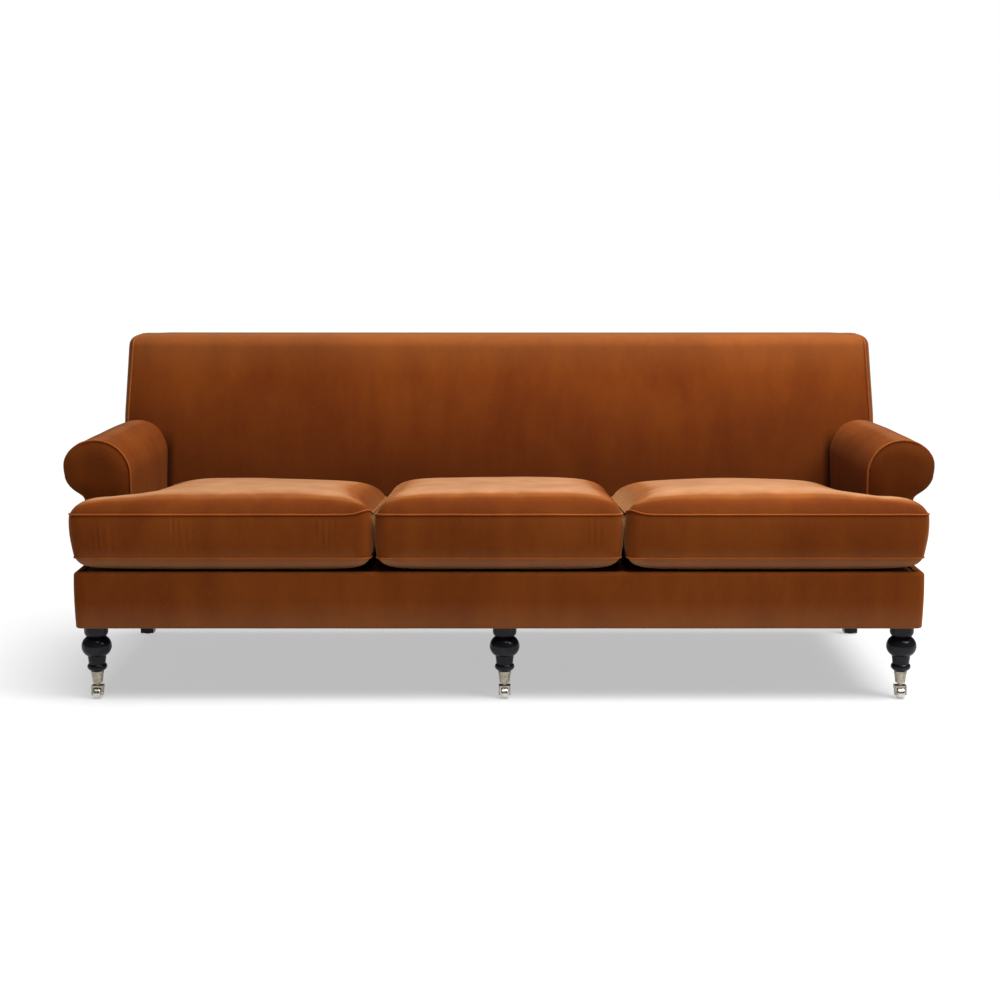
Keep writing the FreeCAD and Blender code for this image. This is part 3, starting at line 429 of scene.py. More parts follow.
def tubeTree():
    # A tube with a little wander, as sewn cord has
    graph, given = openTree("sewnTube", Radius="Float", Step="Float", Wander="Float", Pinch="Float",
                            Sides="Int")
    drift = graph.add("ShaderNodeTexNoise", {"Scale": 14.0, "Detail": 1.0}, 1)
    centred = graph.add("ShaderNodeVectorMath", {0: drift, 1: (0.5, 0.5, 0.5)}, operation="SUBTRACT")
    offset = scaled(graph, centred, given.output("Wander"))
    sockets = {"Geometry": evenly(graph, given, "Step"), "Offset": offset}
    moved = graph.add("GeometryNodeSetPosition", sockets)
    tight = graph.add("ShaderNodeTexNoise", {"Scale": 90.0, "Detail": 1.0})
    width = given.output("Radius") * (1.0 + (tight - 0.5) * given.output("Pinch"))
    cord = graph.add("GeometryNodeSetCurveRadius", {"Curve": moved, "Radius": width})
    sockets = {"Resolution": given.output("Sides"), "Radius": 1.0}
    ring = graph.add("GeometryNodeCurvePrimitiveCircle", sockets)
    sockets = {"Curve": cord, "Profile Curve": ring, "Fill Caps": True}
    tube = graph.add("GeometryNodeCurveToMesh", sockets)
    if "Scale" in tube.socket.node.inputs:
        graph.tree.links.new(width.socket, tube.socket.node.inputs["Scale"])
    return closeTree(graph, given, tube)


def rowTree():
    # Small equal blocks in a row, as staples and zip teeth are
    graph, given = openTree("blockRow", Spacing="Float", Size="Vector", Skew="Float")
    block = graph.add("GeometryNodeMeshCube", {"Size": given.output("Size")})
    sockets = {"Vector": graph.add("GeometryNodeInputTangent")}
    ahead = graph.add("FunctionNodeAlignRotationToVector", sockets, axis="X")
    sockets = {0: (-1.0, -1.0, -1.0), 1: (1.0, 1.0, 1.0), "Seed": 7}
    loose = graph.add("FunctionNodeRandomValue", sockets, data_type="FLOAT_VECTOR")
    swing = scaled(graph, loose, given.output("Skew"))
    turned = graph.add("FunctionNodeRotateRotation", {0: ahead, 1: swing}, rotation_space="LOCAL")
    sockets = {"Points": evenly(graph, given, "Spacing"), "Instance": block, "Rotation": turned}
    return closeTree(graph, given, graph.add("GeometryNodeInstanceOnPoints", sockets))


def grown(name, paths, closed, tree, **values):
    # Runs a tree along the paths and keeps its result as a plain mesh
    curve = bpy.data.curves.new(name + "Path", "CURVE")
    curve.dimensions = "3D"
    for path in paths:
        spline = curve.splines.new("POLY")
        spline.points.add(len(path) - 1)
        for point, place in zip(spline.points, path):
            point.co = (*place, 1.0)
        spline.use_cyclic_u = closed
    source = placed(name + "Path", curve)
    modifier = source.modifiers.new("grow", "NODES")
    modifier.node_group = tree
    for item in tree.interface.items_tree:
        if item.name in values:
            modifier[item.identifier] = values[item.name]
    piece = placed(name, settled(source))
    bpy.data.objects.remove(source)
    return piece


sewnTube = tubeTree()
blockRow = rowTree()


def makeWelts(name, paths, radius, closed, body, *replaced, wander=0.0012):
    # Welts take the lighter welt velvet, a painted highlight
    piece = grown(name, paths, closed, sewnTube, Radius=radius, Step=0.006, Wander=wander, Pinch=0.18,
                  Sides=12, Finish=weltVelvet)
    dress(piece, body, "velvet", *replaced, finish=weltVelvet)


# Back and base planes, shared by every cover that meets them

planeBook = {
    "deck": 0.324, "rakeLow": 0.329, "backTop": 0.858, "armTop": 0.637, "baseBottom": 0.188,
    "halfBody": 1.038, "halfTop": 1.026, "cornerRise": 0.022, "cornerRun": 0.010,
    "insideLow": 0.190, "insideHigh": 0.320, "outsideLow": 0.387, "outsideHigh": 0.4575,
    "armFront": -0.302, "baseFront": -0.440,
}


def insideY(z):
    b = planeBook
    rise = (z - b["rakeLow"]) / (b["backTop"] - b["rakeLow"])
    return b["insideLow"] + (b["insideHigh"] - b["insideLow"]) * rise


def outsideY(z):
    b = planeBook
    rise = (z - b["baseBottom"]) / (b["backTop"] - b["baseBottom"])
    return b["outsideLow"] + (b["outsideHigh"] - b["outsideLow"]) * rise


def backHalf(z):
    b = planeBook
    share = max(0.0, (z - b["armTop"]) / (b["backTop"] - b["armTop"]))
    turn = clamp((z - b["backTop"]) / b["cornerRise"] + 1.0)
    eased = b["cornerRun"] * (1.0 - math.sqrt(1.0 - turn ** 2))
    return b["halfBody"] + (b["halfTop"] - b["halfBody"]) * share - eased


# Inside back: crowned face, soft turn over the top, closed at the rear seam

backBook = {
    "bottom": 0.319, "crown": 0.012, "fall": 0.014, "fallRun": 0.075, "turn": 0.030, "topCrown": 0.004,
    "columns": 150, "crowding": 0.86, "rowStep": 0.014, "topRows": 8, "wall": 0.006, "seamGap": 0.001,
    "fadeDepth": 0.2, "waves": ((0.0, 3.2, 0.0022), (4.0, 9.0, 0.0007)),
}


def backRelief(share):
    # How far the face stands forward at a share of the half width, and how near its edge that is
    b = backBook
    flat = 1.0 - b["fallRun"] / planeBook["halfTop"]
    swell = b["crown"] * max(0.0, 1.0 - (share / flat) ** 2)
    edge = max(0.0, (abs(share) - flat) / (1.0 - flat))
    return swell - b["fall"] * edge ** 2, edge


def backRow(z, back, lift=0.0):
    b = backBook
    span = math.pi * b["crowding"]
    row = []
    for place in shares(b["columns"]):
        share = math.sin((place - 0.5) * span) / math.sin(0.5 * span)
        forward, edge = backRelief(share)
        x = share * backHalf(z)
        wave = sum(ripple(x, shift, z, scale, amount) for shift, scale, amount in b["waves"])
        y = insideY(z) + back - forward * (1.0 - back / b["fadeDepth"]) + wave * (1.0 - edge)
        row.append((x, y, z + lift * (1.0 - edge)))
    return row


def makeInsideBack():
    b = backBook
    top = planeBook["backTop"]
    turnStart = top - b["turn"]
    rows = [backRow(z, 0.0) for z in steps(b["bottom"], turnStart, b["rowStep"])]
    for sine, cosine in quarter(b["topRows"]):
        rows.append(backRow(turnStart + b["turn"] * sine, b["turn"] * (1.0 - cosine)))
    depth = outsideY(top) - insideY(top) - b["turn"]
    for share in shares(b["topRows"])[1:]:
        lift = b["topCrown"] * math.sin(share * math.pi)
        rows.append(backRow(top, b["turn"] + depth * share - b["seamGap"], lift))
    piece = gridPiece("insideBack", rows)
    thicken(piece, b["wall"], (0.0, -1.0, 0.3), 1)
    dress(piece, "frame", "velvet", "inside_back_cover", "back_pad", finish=backVelvet)


sideBook = {
    "bottom": 0.600, "bulge": 0.023, "fall": 0.014, "turn": 0.030, "wall": 0.004, "columns": 20,
    "rowStep": 0.012, "topRows": 8, "seamGap": 0.001, "fullness": 0.8, "weltLow": 0.612,
    "weltRadius": 0.0024, "weltOut": 0.0014, "weltSink": 0.0012, "weltTurns": 12, "weltStep": 0.01,
    "weltDrop": 0.004, "dropRun": 0.03, "weltGap": 0.002,
}


def topFade(z):
    # From 1 below the turn over the top to 0 at the top
    b = sideBook
    turnStart = planeBook["backTop"] - b["turn"]
    return math.sqrt(max(0.0, 1.0 - max(0.0, (z - turnStart) / b["turn"]) ** 2))


def sideEdgeY(z):
    # Front edge of the side boxing, rounded where it turns rearward at the top
    return insideY(z) + sideBook["fall"] + sideBook["turn"] * (1.0 - topFade(z))


def makeBackSide(name, side, node):
    b = sideBook
    turnStart = planeBook["backTop"] - b["turn"]
    levels = steps(b["bottom"], turnStart, b["rowStep"])
    levels += [turnStart + b["turn"] * sine for sine, cosine in quarter(b["topRows"])]
    rows = []
    for z in levels:
        near = sideEdgeY(z)
        far = outsideY(z) - b["seamGap"]
        fade = topFade(z)
        row = []
        for share in shares(b["columns"]):
            out = b["bulge"] * fade * (1.0 - (2.0 * share - 1.0) ** 2) ** b["fullness"]
            out += ripple(share, z, side, 4.0, 0.001) * fade
            row.append((side * (backHalf(z) + out), near + (far - near) * share, z))
        rows.append(row)
    piece = gridPiece(name, rows)
    thicken(piece, b["wall"], (side, 0.0, 0.0), 1)
    # The back sides take the darker panel velvet, painted shade
    dress(piece, "frame", "velvet", node, finish=panelVelvet)


def makeBackWelts():
    b = sideBook
    top = planeBook["backTop"]
    turnStart = top - b["turn"]
    out = b["weltOut"]
    paths = []
    for side in (-1, 1):
        path = []
        for z in steps(b["weltLow"], turnStart, b["weltStep"]):
            path.append((side * (backHalf(z) + out), sideEdgeY(z) - out, z))
        for sine, cosine in quarter(b["weltTurns"]):
            z = turnStart + b["turn"] * sine
            path.append((side * (backHalf(z) + out), sideEdgeY(z) - out * cosine, z - b["weltSink"] * sine))
        x, start, z = path[-1]
        for y in steps(start, outsideY(top) - b["weltGap"], b["weltStep"])[1:]:
            drop = max(0.0, (y - outsideY(top) + b["dropRun"]) / b["dropRun"])
            path.append((x, y, z - b["weltDrop"] * drop))
        paths.append(path)
    makeWelts("backWelts", paths, b["weltRadius"], False, "frame", "back_welts")


# Rolled arms

armBook = {
    "innerX": 0.920, "innerR": 0.088, "outerR": 0.082, "outerDrop": 0.065, "neckX": 1.0385, "neckZ": 0.4865,
    "underPull": 0.070, "neckPull": 0.020, "bottom": 0.3245, "coverFront": -0.3003, "wall": 0.005,
    "tuck": 0.03, "tuckPast": 0.02, "seamGap": 0.002, "fall": 0.012, "fallLow": 0.42, "fallHigh": 0.56,
    "crease": 0.010, "creaseRun": 0.016, "creaseTop": 0.625, "creaseFade": 0.04, "creasePast": 0.004,
    "sideRows": 19, "arcRows": 16, "underRows": 18, "depthRows": 90,
    "easeIn": 0.0022, "easeRun": 0.006, "swell": 0.0015, "waveScale": 6.0, "waveHeight": 0.0016,
    "weltInset": 0.0016, "weltRadius": 0.0024, "weltWander": 0.0008, "weltFront": -0.3008,
    "weltHide": 0.003, "weltBack": 0.0055, "weltBottom": 0.331, "hideFrom": 0.35, "hideRun": 0.4,
}


def rollFall(y, z):
    # The roll falls a little from its front to the back of the sofa
    b = armBook
    along = (y - b["coverFront"]) / (planeBook["insideHigh"] - b["coverFront"])
    up = clamp((z - b["fallLow"]) / (b["fallHigh"] - b["fallLow"]))
    return b["fall"] * max(0.0, along) * up


def armProfile(inset=0.0):
    # Points (x, z) from the inside bottom over the roll to the neck, and their outward normals
    b = armBook
    top = planeBook["armTop"]
    apex = b["innerX"] + b["innerR"]
    centre = top - b["innerR"]
    wide, high = b["outerR"], b["outerDrop"]
    side = np.linspace(b["bottom"], centre, b["sideRows"])[:-1]
    points = [(b["innerX"] + inset, float(z), -1.0, 0.0) for z in side]
    arc = quarter(b["arcRows"], 0)[:-1]
    r = b["innerR"] - inset
    points += [(apex - r * cosine, centre + r * sine, -cosine, sine) for sine, cosine in arc]
    for sine, cosine in arc:
        size = math.hypot(high * sine, wide * cosine)
        nx, nz = high * sine / size, wide * cosine / size
        points.append((apex + wide * sine - inset * nx, top - high + high * cosine - inset * nz, nx, nz))
    # The underside of the roll runs in an easy S from its widest place to the neck
    ends = [(apex + wide, top - high), (apex + wide, top - high - b["underPull"]),
            (b["neckX"], b["neckZ"] + b["neckPull"]), (b["neckX"], b["neckZ"])]
    for t in shares(b["underRows"]):
        share = ((1 - t) ** 3, 3 * t * (1 - t) ** 2, 3 * t * t * (1 - t), t ** 3)
        pace = (3 * (1 - t) ** 2, 6 * t * (1 - t), 3 * t * t)
        x, z = [sum(w * p[k] for w, p in zip(share, ends)) for k in (0, 1)]
        dx, dz = [sum(w * (q[k] - p[k]) for w, p, q in zip(pace, ends, ends[1:])) for k in (0, 1)]
        size = math.hypot(dx, dz)
        points.append((x + inset * dz / size, z - inset * dx / size, -dz / size, dx / size))
    return points


def makeArm(name, side, cover, pad):
    b = armBook
    apex = b["innerX"] + b["innerR"]
    front = b["coverFront"]
    rows = []
    for x, z, nx, nz in armProfile():
        # The inner side tucks in behind the inside back, and the rest ends at the outside back
        tucked = x < apex + b["tuckPast"]
        end = insideY(z) + b["tuck"] if tucked else outsideY(z) - b["seamGap"]
        drawn = b["crease"] * max(0.0, -nx * clamp((b["creaseTop"] - z) / b["creaseFade"]) * (x < apex))
        row = []
        for share in shares(b["depthRows"]):
            y = front + (end - front) * share
            ease = b["easeIn"] * (1.0 - min(1.0, (y - front) / b["easeRun"])) ** 2 * (nz > -0.2 or x < apex)
            wave = ripple(x + side, y, z, b["waveScale"], b["waveHeight"]) * min(1.0, share * 8.0)
            # Where the arm meets the back, its inner side is drawn in to a crease
            close = max(0.0, insideY(z) + b["creasePast"] - y) / b["creaseRun"]
            out = b["swell"] * math.sin(math.pi * share) + wave - ease - drawn * math.exp(-close ** 2)
            row.append((side * (x + nx * out), y, z + nz * out - rollFall(y, z)))
        rows.append(row)
    piece = gridPiece(name, rows)
    thicken(piece, b["wall"], (-side, 0.0, 1.0), 1)
    dress(piece, "frame", "velvet", cover, pad, finish=armVelvet)


def armSpan(z, inset, outerInset):
    # Inner and outer x of the arm front at a height
    apex = armBook["innerX"] + armBook["innerR"]
    inner = [(h, x) for x, h, nx, nz in armProfile(inset) if x <= apex]
    outer = [(h, x) for x, h, nx, nz in armProfile(outerInset) if x >= apex][::-1]
    return [float(np.interp(z, *np.array(side).T)) for side in (inner, outer)]


panelBook = {
    "inset": 0.0034, "outerInset": 0.0012, "insetFrom": 0.61, "crown": 0.011, "run": 0.040,
    "fullness": 2.4, "wall": 0.003, "columns": 26, "rowStep": 0.008, "bend": 0.56, "bendRows": 14,
    "back": 0.002, "waveScale": 14.0, "waveHeight": 0.0012,
}


def makeArmFront(name, side, node):
    b = panelBook
    bend = b["bend"]
    top = planeBook["armTop"] - b["inset"]
    levels = steps(armBook["bottom"], bend, b["rowStep"])
    levels += [bend + (top - bend) * sine for sine, cosine in quarter(b["bendRows"])]
    rim = []
    grid = []
    for z in levels:
        inner, outer = armSpan(z, b["inset"], b["outerInset"] if z < b["insetFrom"] else b["inset"])
        grid.append([(inner + (outer - inner) * share, z) for share in shares(b["columns"])])
        rim += [(inner, z), (outer, z)]
    rim = np.array(rim)
    rows = []
    for line in grid:
        row = []
        for x, z in line:
            near = float(np.hypot(rim[:, 0] - x, rim[:, 1] - z).min())
            rise = 1.0 - (1.0 - min(1.0, near / b["run"])) ** b["fullness"]
            wave = ripple(x, z, side, b["waveScale"], b["waveHeight"]) * rise
            row.append((side * x, planeBook["armFront"] + b["back"] - b["crown"] * rise + wave, z))
        rows.append(row)
    piece = gridPiece(name, rows)
    thicken(piece, b["wall"], (0.0, -1.0, 0.0), 1)
    # The arm front takes the darker panel velvet, painted shade
    dress(piece, "frame", "velvet", node, finish=panelVelvet)


def makeArmWelts():
    b = armBook
    paths = []
    for side in (-1, 1):
        path = []
        for x, z, nx, nz in armProfile(b["weltInset"]):
            # On the outer side the welt runs back out of sight behind the panel's rim
            hidden = clamp((nx - b["hideFrom"]) / b["hideRun"])
            deep = b["weltHide"] * hidden
            path.append((side * (x - nx * deep), b["weltFront"] + b["weltBack"] * hidden, z - nz * deep))
        x, y, last = path[-1]
        path += [(x, y, z) for z in steps(last, b["weltBottom"], -0.01)[1:]]
        paths.append(path)
    makeWelts("armWelts", paths, b["weltRadius"], False, "frame", "arm_welts", wander=b["weltWander"])


makeInsideBack()
makeBackSide("backSideLeft", -1, "back_side_cover_left")
makeBackSide("backSideRight", 1, "back_side_cover_right")
makeBackWelts()
print("back dressed")
makeArm("armLeft", -1, "inside_arm_cover_left", "arm_pad_left")
makeArm("armRight", 1, "inside_arm_cover_right", "arm_pad_right")
makeArmFront("armFrontLeft", -1, "arm_front_cover_left")
makeArmFront("armFrontRight", 1, "arm_front_cover_right")
makeArmWelts()
print("arms dressed")


# Base: front border, outside arms, outside back, deck and dust cover

baseBook = {
    "bottom": 0.188, "hem": 0.004, "hemDrop": 0.0012, "tuck": 0.018, "edge": 0.018, "topEdge": 0.009,
    "proud": 0.003, "wall": 0.003, "seamY": -0.4204, "seamX": 1.0184, "rowStep": 0.011, "arcRows": 8,
    "topTurn": ((0.0170, 0.0004), (0.0205, 0.0024)), "sideSwell": 0.005, "lean": 0.0015,
    "swellFade": 0.09, "leanTop": 0.29, "leanRun": 0.10, "swell": 0.0015, "height": 0.141,
    "cross": 0.014, "step": 0.012, "sideColumns": 60, "overlap": 0.002, "seamGap": 0.001,
}


def sideSwell(z):
    # The sides stand a little proud beside the rails and come back in above the seat
    b = baseBook
    up = clamp((z - planeBook["deck"]) / b["swellFade"])
    low = clamp((b["leanTop"] - z) / b["leanRun"])
    return b["sideSwell"] * (1.0 - up ** 2 * (3.0 - 2.0 * up)) - b["lean"] * low


def baseProfile():
    # Inward offset and height from the tucked hem to the top of the edge
    b = baseBook
    hem, edge = b["hem"], b["topEdge"]
    top = planeBook["deck"] + b["proud"]
    low = b["bottom"] - b["hemDrop"]
    points = [(b["tuck"], low), ((b["tuck"] + hem) / 2, low)]
    points += [(hem - hem * cosine, low + hem - hem * sine) for sine, cosine in quarter(4, 0)[::-1]]
    points += [(0.0, z) for z in steps(low + hem, top - edge, b["rowStep"])[1:]]
    points += [(edge * (1.0 - cosine), top - edge + edge * sine) for sine, cosine in quarter(b["arcRows"])]
    return points + [(inward, top - down) for inward, down in b["topTurn"]]


def makeFrontBorder():
    b = baseBook
    half = planeBook["halfBody"]
    front = planeBook["baseFront"]
    edge = b["edge"]
    path = [(half, b["seamY"], 1.0, 0.0)]
    for sine, cosine in quarter(b["arcRows"], 0):
        path.append((half - edge + edge * cosine, front + edge - edge * sine, cosine, -sine))
    inner = [(x, front, 0.0, -1.0) for x in steps(half - edge, -half + edge, -b["cross"])[1:-1]]
    path = path + inner + [(-x, y, -nx, ny) for x, y, nx, ny in path[::-1]]
    rows = []
    for inward, z in baseProfile():
        swell = b["swell"] * math.sin(math.pi * clamp((z - b["bottom"]) / b["height"]))
        wide = 1.0 + sideSwell(z) / half
        row = []
        for x, y, nx, ny in path:
            wave = ripple(x, 2.0, z, 5.0, 0.0018) if abs(x) < half - edge else 0.0
            off = swell + wave - inward
            row.append(((x + nx * off) * wide, y + ny * off, z))
        rows.append(row)
    piece = gridPiece("frontBorder", rows)
    thicken(piece, b["wall"], (0.0, -1.0, 0.0))
    dress(piece, "frame", "velvet", "front_border_cover")


def makeOutsideArm(name, side, node):
    b = baseBook
    half = planeBook["halfBody"]
    profile = baseProfile()
    ys = steps(b["seamY"], planeBook["armFront"] + b["overlap"], b["step"])
    low = [[(side * (half - inward + sideSwell(z)), y, z) for y in ys] for inward, z in profile]
    levels = [(i, z) for i, z in profile if z < planeBook["deck"] + b["proud"] - b["topEdge"] + 0.001]
    neck = armBook["neckZ"] - b["seamGap"]
    levels += [(0.0, z) for z in steps(levels[-1][1], neck, b["step"])[1:]]
    main = []
    for inward, z in levels:
        far = outsideY(z) - b["seamGap"]
        row = []
        for y in steps(ys[-1], far, (far - ys[-1]) / b["sideColumns"]):
            share = (y - ys[-1]) / (far - ys[-1])
            wave = ripple(side, y, z, 4.0, 0.0025) * math.sin(math.pi * share)
            row.append((side * (half - inward + wave + sideSwell(z)), y, z))
        main.append(row)
    piece = gridPiece(name, low, main)
    thicken(piece, b["wall"], (side, 0.0, 0.0))
    dress(piece, "frame", "velvet", node)


outsideBook = {
    "below": 0.003, "neck": 0.49, "step": 0.012, "neckStep": 0.0035, "inset": 0.002, "columns": 120,
    "rim": 0.0025, "rimRun": 0.012, "proud": 0.0012, "waveScale": 3.0, "waveHeight": 0.0018,
    "wall": 0.0025,
}


def makeOutsideBack():
    b = outsideBook
    armTop = planeBook["armTop"]
    levels = steps(baseBook["bottom"], b["neck"], b["step"]) + steps(b["neck"], armTop, b["neckStep"])[1:]
    levels += steps(armTop, planeBook["backTop"] - b["below"], b["step"])[1:]
    rows = []
    for z in levels:
        armZ = z + rollFall(outsideY(z), z)
        half = armSpan(armZ, b["inset"], b["inset"])[1] if armZ < armTop - b["inset"] else 0.0
        swell = sideSwell(z) if z < planeBook["deck"] + baseBook["swellFade"] else 0.0
        half = max(half, backHalf(z) - b["inset"] + swell)
        row = []
        for place in shares(b["columns"]):
            share = math.sin((place - 0.5) * math.pi)
            x = share * half
            edge = 1.0 - abs(share)
            rim = b["rim"] * max(0.0, 1.0 - edge / b["rimRun"]) ** 2
            wave = ripple(x, 7.0, z, b["waveScale"], b["waveHeight"])
            row.append((x, outsideY(z) - rim + max(0.0, (b["proud"] + wave) * min(1.0, edge * 20)), z))
        rows.append(row)
    piece = gridPiece("outsideBack", rows)
    thicken(piece, b["wall"], (0.0, 1.0, 0.0))
    dress(piece, "frame", "velvet", "outside_back_cover")


deckBook = {"rear": 0.19, "sink": 0.0004, "sag": 0.002, "wall": 0.003, "cell": 0.02, "frontCell": 0.015}


def makeDeck():
    b = deckBook
    inner = armBook["innerX"]
    level = planeBook["deck"] - b["sink"]
    seamX = baseBook["seamX"]
    xs = [-seamX] + steps(-inner, inner, b["cell"]) + [seamX]
    front = [[(x, y, level) for x in xs]
             for y in steps(baseBook["seamY"], planeBook["armFront"], b["frontCell"])]
    rest = [[(x, y, level - b["sag"] * math.cos(x / inner * math.pi / 2)) for x in xs[1:-1]]
            for y in steps(planeBook["armFront"], b["rear"], b["cell"])]
    piece = gridPiece("deck", front, rest)
    thicken(piece, b["wall"], (0.0, 0.0, 1.0))
    dress(piece, "frame", "deck_cloth", "deck_cover", "deck_pad")


dustBook = {
    "half": 1.034, "front": -0.436, "rear": 0.383, "level": 0.1886, "sag": 0.003, "wall": 0.0008,
    "stapleHalf": 1.010, "stapleFront": -0.412, "stapleRear": 0.362, "stapleLevel": 0.1874,
    "spacing": 0.042, "staple": (0.0105, 0.0011, 0.0008), "skew": 0.10,
}


def makeDustCover():
    b = dustBook
    ys = steps(b["front"], b["rear"], 0.025)
    rows = []
    for y in ys:
        along = math.sin(math.pi * (y - ys[0]) / (ys[-1] - ys[0]))
        row = []
        for x in steps(-b["half"], b["half"], 0.03):
            across = max(0.0, 1.0 - (x / b["half"]) ** 2) * along
            row.append((x, y, b["level"] - b["sag"] * across + ripple(x, y, 0.0, 5.0, 0.0012) * across))
        rows.append(row)
    piece = gridPiece("dustCover", rows)
    thicken(piece, b["wall"], (0.0, 0.0, -1.0))
    dress(piece, "frame", "dust_cloth", "dust_cover")


def makeStaples():
    # Staples hold the dust cover's edge all round
    b = dustBook
    half, front, rear, z = b["stapleHalf"], b["stapleFront"], b["stapleRear"], b["stapleLevel"]
    xs = steps(-half, half, 0.02)
    path = [(x, front, z) for x in xs] + [(half, y, z) for y in steps(front, rear, 0.02)[1:]]
    path += [(-x, rear, z) for x in xs[1:]] + [(-half, -y, z) for y in steps(-rear, -front, 0.02)[1:-1]]
    piece = grown("dustCoverStaples", [path], True, blockRow, Spacing=b["spacing"], Size=b["staple"],
                  Skew=b["skew"], Finish=slotFinish["zinc_steel"])
    dress(piece, "frame", "zinc_steel")
    piece.data.shade_flat()


springBook = {
    "wire": 0.0019, "straight": 0.015, "radius": 0.016, "bendPoints": 10,
    "seat": {"count": 12, "span": 1.760, "start": (-0.4281, 0.3093), "end": (0.3751, 0.3093)},
    "back": {"count": 9, "span": 1.740, "start": (0.2620, 0.3558), "end": (0.3789, 0.8316)},
}


def zigzag(length):
    # Sideways offset and place along the spring, from its front end to its rear end
    b = springBook
    turns = round(length / b["radius"] / 2)
    r = length / turns / 2
    path = []
    for turn in range(turns):
        side = 1 if turn % 2 == 0 else -1
        path += [(-side * b["straight"], 2 * r * turn), (side * b["straight"], 2 * r * turn)]
        for share in shares(b["bendPoints"])[1:-1]:
            out = b["straight"] + r * math.sin(math.pi * share)
            path.append((side * out, 2 * r * turn + r * (1 - math.cos(math.pi * share))))
    side = 1 if turns % 2 == 0 else -1
    return path + [(-side * b["straight"], length), (side * b["straight"], length)]


def makeSprings(name, node, layout):
    (y0, z0), (y1, z1) = layout["start"], layout["end"]
    length = math.hypot(y1 - y0, z1 - z0)
    paths = []
    for i in range(layout["count"]):
        x = layout["span"] * (i / (layout["count"] - 1) - 0.5)
        paths.append([(x + dx, y0 + (y1 - y0) * run / length, z0 + (z1 - z0) * run / length)
                      for dx, run in zigzag(length)])
    piece = grown(name, paths, False, sewnTube, Radius=springBook["wire"], Step=0.0045, Wander=0.0,
                  Pinch=0.0, Sides=8, Finish=slotFinish["spring_steel"])
    dress(piece, "frame", "spring_steel", node)


makeFrontBorder()
makeOutsideArm("outsideArmLeft", -1, "outside_arm_cover_left")
makeOutsideArm("outsideArmRight", 1, "outside_arm_cover_right")
makeOutsideBack()
makeDeck()
makeDustCover()
makeStaples()
makeSprings("seatSprings", "seat_springs", springBook["seat"])
makeSprings("backSprings", "back_springs", springBook["back"])
print("base dressed")


# Seat cushions: a grid over the plan, crowned above and below, a bulging boxing between the seams

cushionBook = {
    "frontY": -0.4575, "rearY": 0.184, "splitX": 0.306, "gap": 0.0015, "mainX": 0.9165, "earX": 1.053,
    "earRearY": -0.307, "topInset": 0.004, "corner": 0.030, "cornerPatch": 0.065, "step": 0.0105,
    "topSeam": 0.4730, "pitch": 0.079, "cornerLift": 0.014, "liftReach": 0.035,
    "edgeRise": {"end": 0.046, "middle": 0.050}, "edgeReach": {"end": 0.040, "middle": 0.030},
    "edgeFullness": 0.54, "dome": {"end": 0.017, "middle": 0.013}, "domeReach": 0.2, "domeFullness": 0.8,
    "waveFade": 0.12, "lowSeam": 0.3635, "bottom": 0.3243, "bellyReach": 0.035, "bellyFullness": 0.6,
    "bellyDrop": 1.05, "lowDraw": 0.0095, "pressedShare": 0.8, "drawReach": 0.05,
    "boxingRows": 10, "bulge": 0.0038, "weltRadius": 0.0020, "weltOut": 0.0003,
    "frames": 20, "restingHold": 0.6, "foldShare": 0.4, "swellShare": 0.03, "reach": 0.006,
}
clothBook = {
    "quality": 6, "mass": 0.3, "tension_stiffness": 18.0, "compression_stiffness": 12.0,
    "shear_stiffness": 6.0, "bending_stiffness": 0.35, "tension_damping": 12.0,
    "compression_damping": 12.0, "air_damping": 2.0, "use_pressure": True,
    "uniform_pressure_force": 3.0, "vertex_group_mass": "sewn", "shrink_min": -0.012,
}


def roundedCorner(a, c, radius, patch):
    # Coons patch that turns a square corner of the plan into a round one
    quarterArc = radius * math.pi / 4
    length = patch - radius + quarterArc

    def edge(t):
        run = t * length
        if run < quarterArc:
            angle = math.pi / 4 - run / radius
            return radius - radius * math.cos(angle), radius - radius * math.sin(angle)
        return 0.0, radius + run - quarterArc

    u, v = a / patch, c / patch
    ax, ay = edge(v)
    by, bx = edge(u)
    both = u * v * patch - (1 - u) * (1 - v) * edge(0.0)[0]
    return (1 - u) * ax + (1 - v) * bx + both, (1 - u) * ay + (1 - v) * by + both


def seatPlan(kind):
    # Grid lines of the plan, a test for what lies in it, and its corners with their inward ways
    b = cushionBook
    inset = b["topInset"]
    y0, y1 = b["frontY"] + inset, b["rearY"] - inset
    if kind == "middle":
        half = b["splitX"] - b["gap"] / 2 - inset
        xs, ys = steps(-half, half, b["step"]), steps(y0, y1, b["step"])
        corners = [(-half, y0, 1, 1), (half, y0, -1, 1), (half, y1, -1, -1), (-half, y1, 1, -1)]
        return xs, ys, lambda x, y: True, corners
    x0, x1 = b["splitX"] + b["gap"] / 2 + inset, b["mainX"] - inset
    ear, notch = b["earX"] - inset, b["earRearY"] - inset
    xs = steps(x0, x1, b["step"]) + steps(x1, ear, b["step"])[1:]
    ys = steps(y0, notch, b["step"]) + steps(notch, y1, b["step"])[1:]
    corners = [(x0, y0, 1, 1), (ear, y0, -1, 1), (ear, notch, -1, -1), (x1, y1, -1, -1), (x0, y1, 1, -1)]
    return xs, ys, lambda x, y: x < x1 + 1e-6 or y < notch + 1e-6, corners


def edgePairs(faces):
    return np.array([(face[k], face[(k + 1) % 4]) for face in faces for k in range(4)])


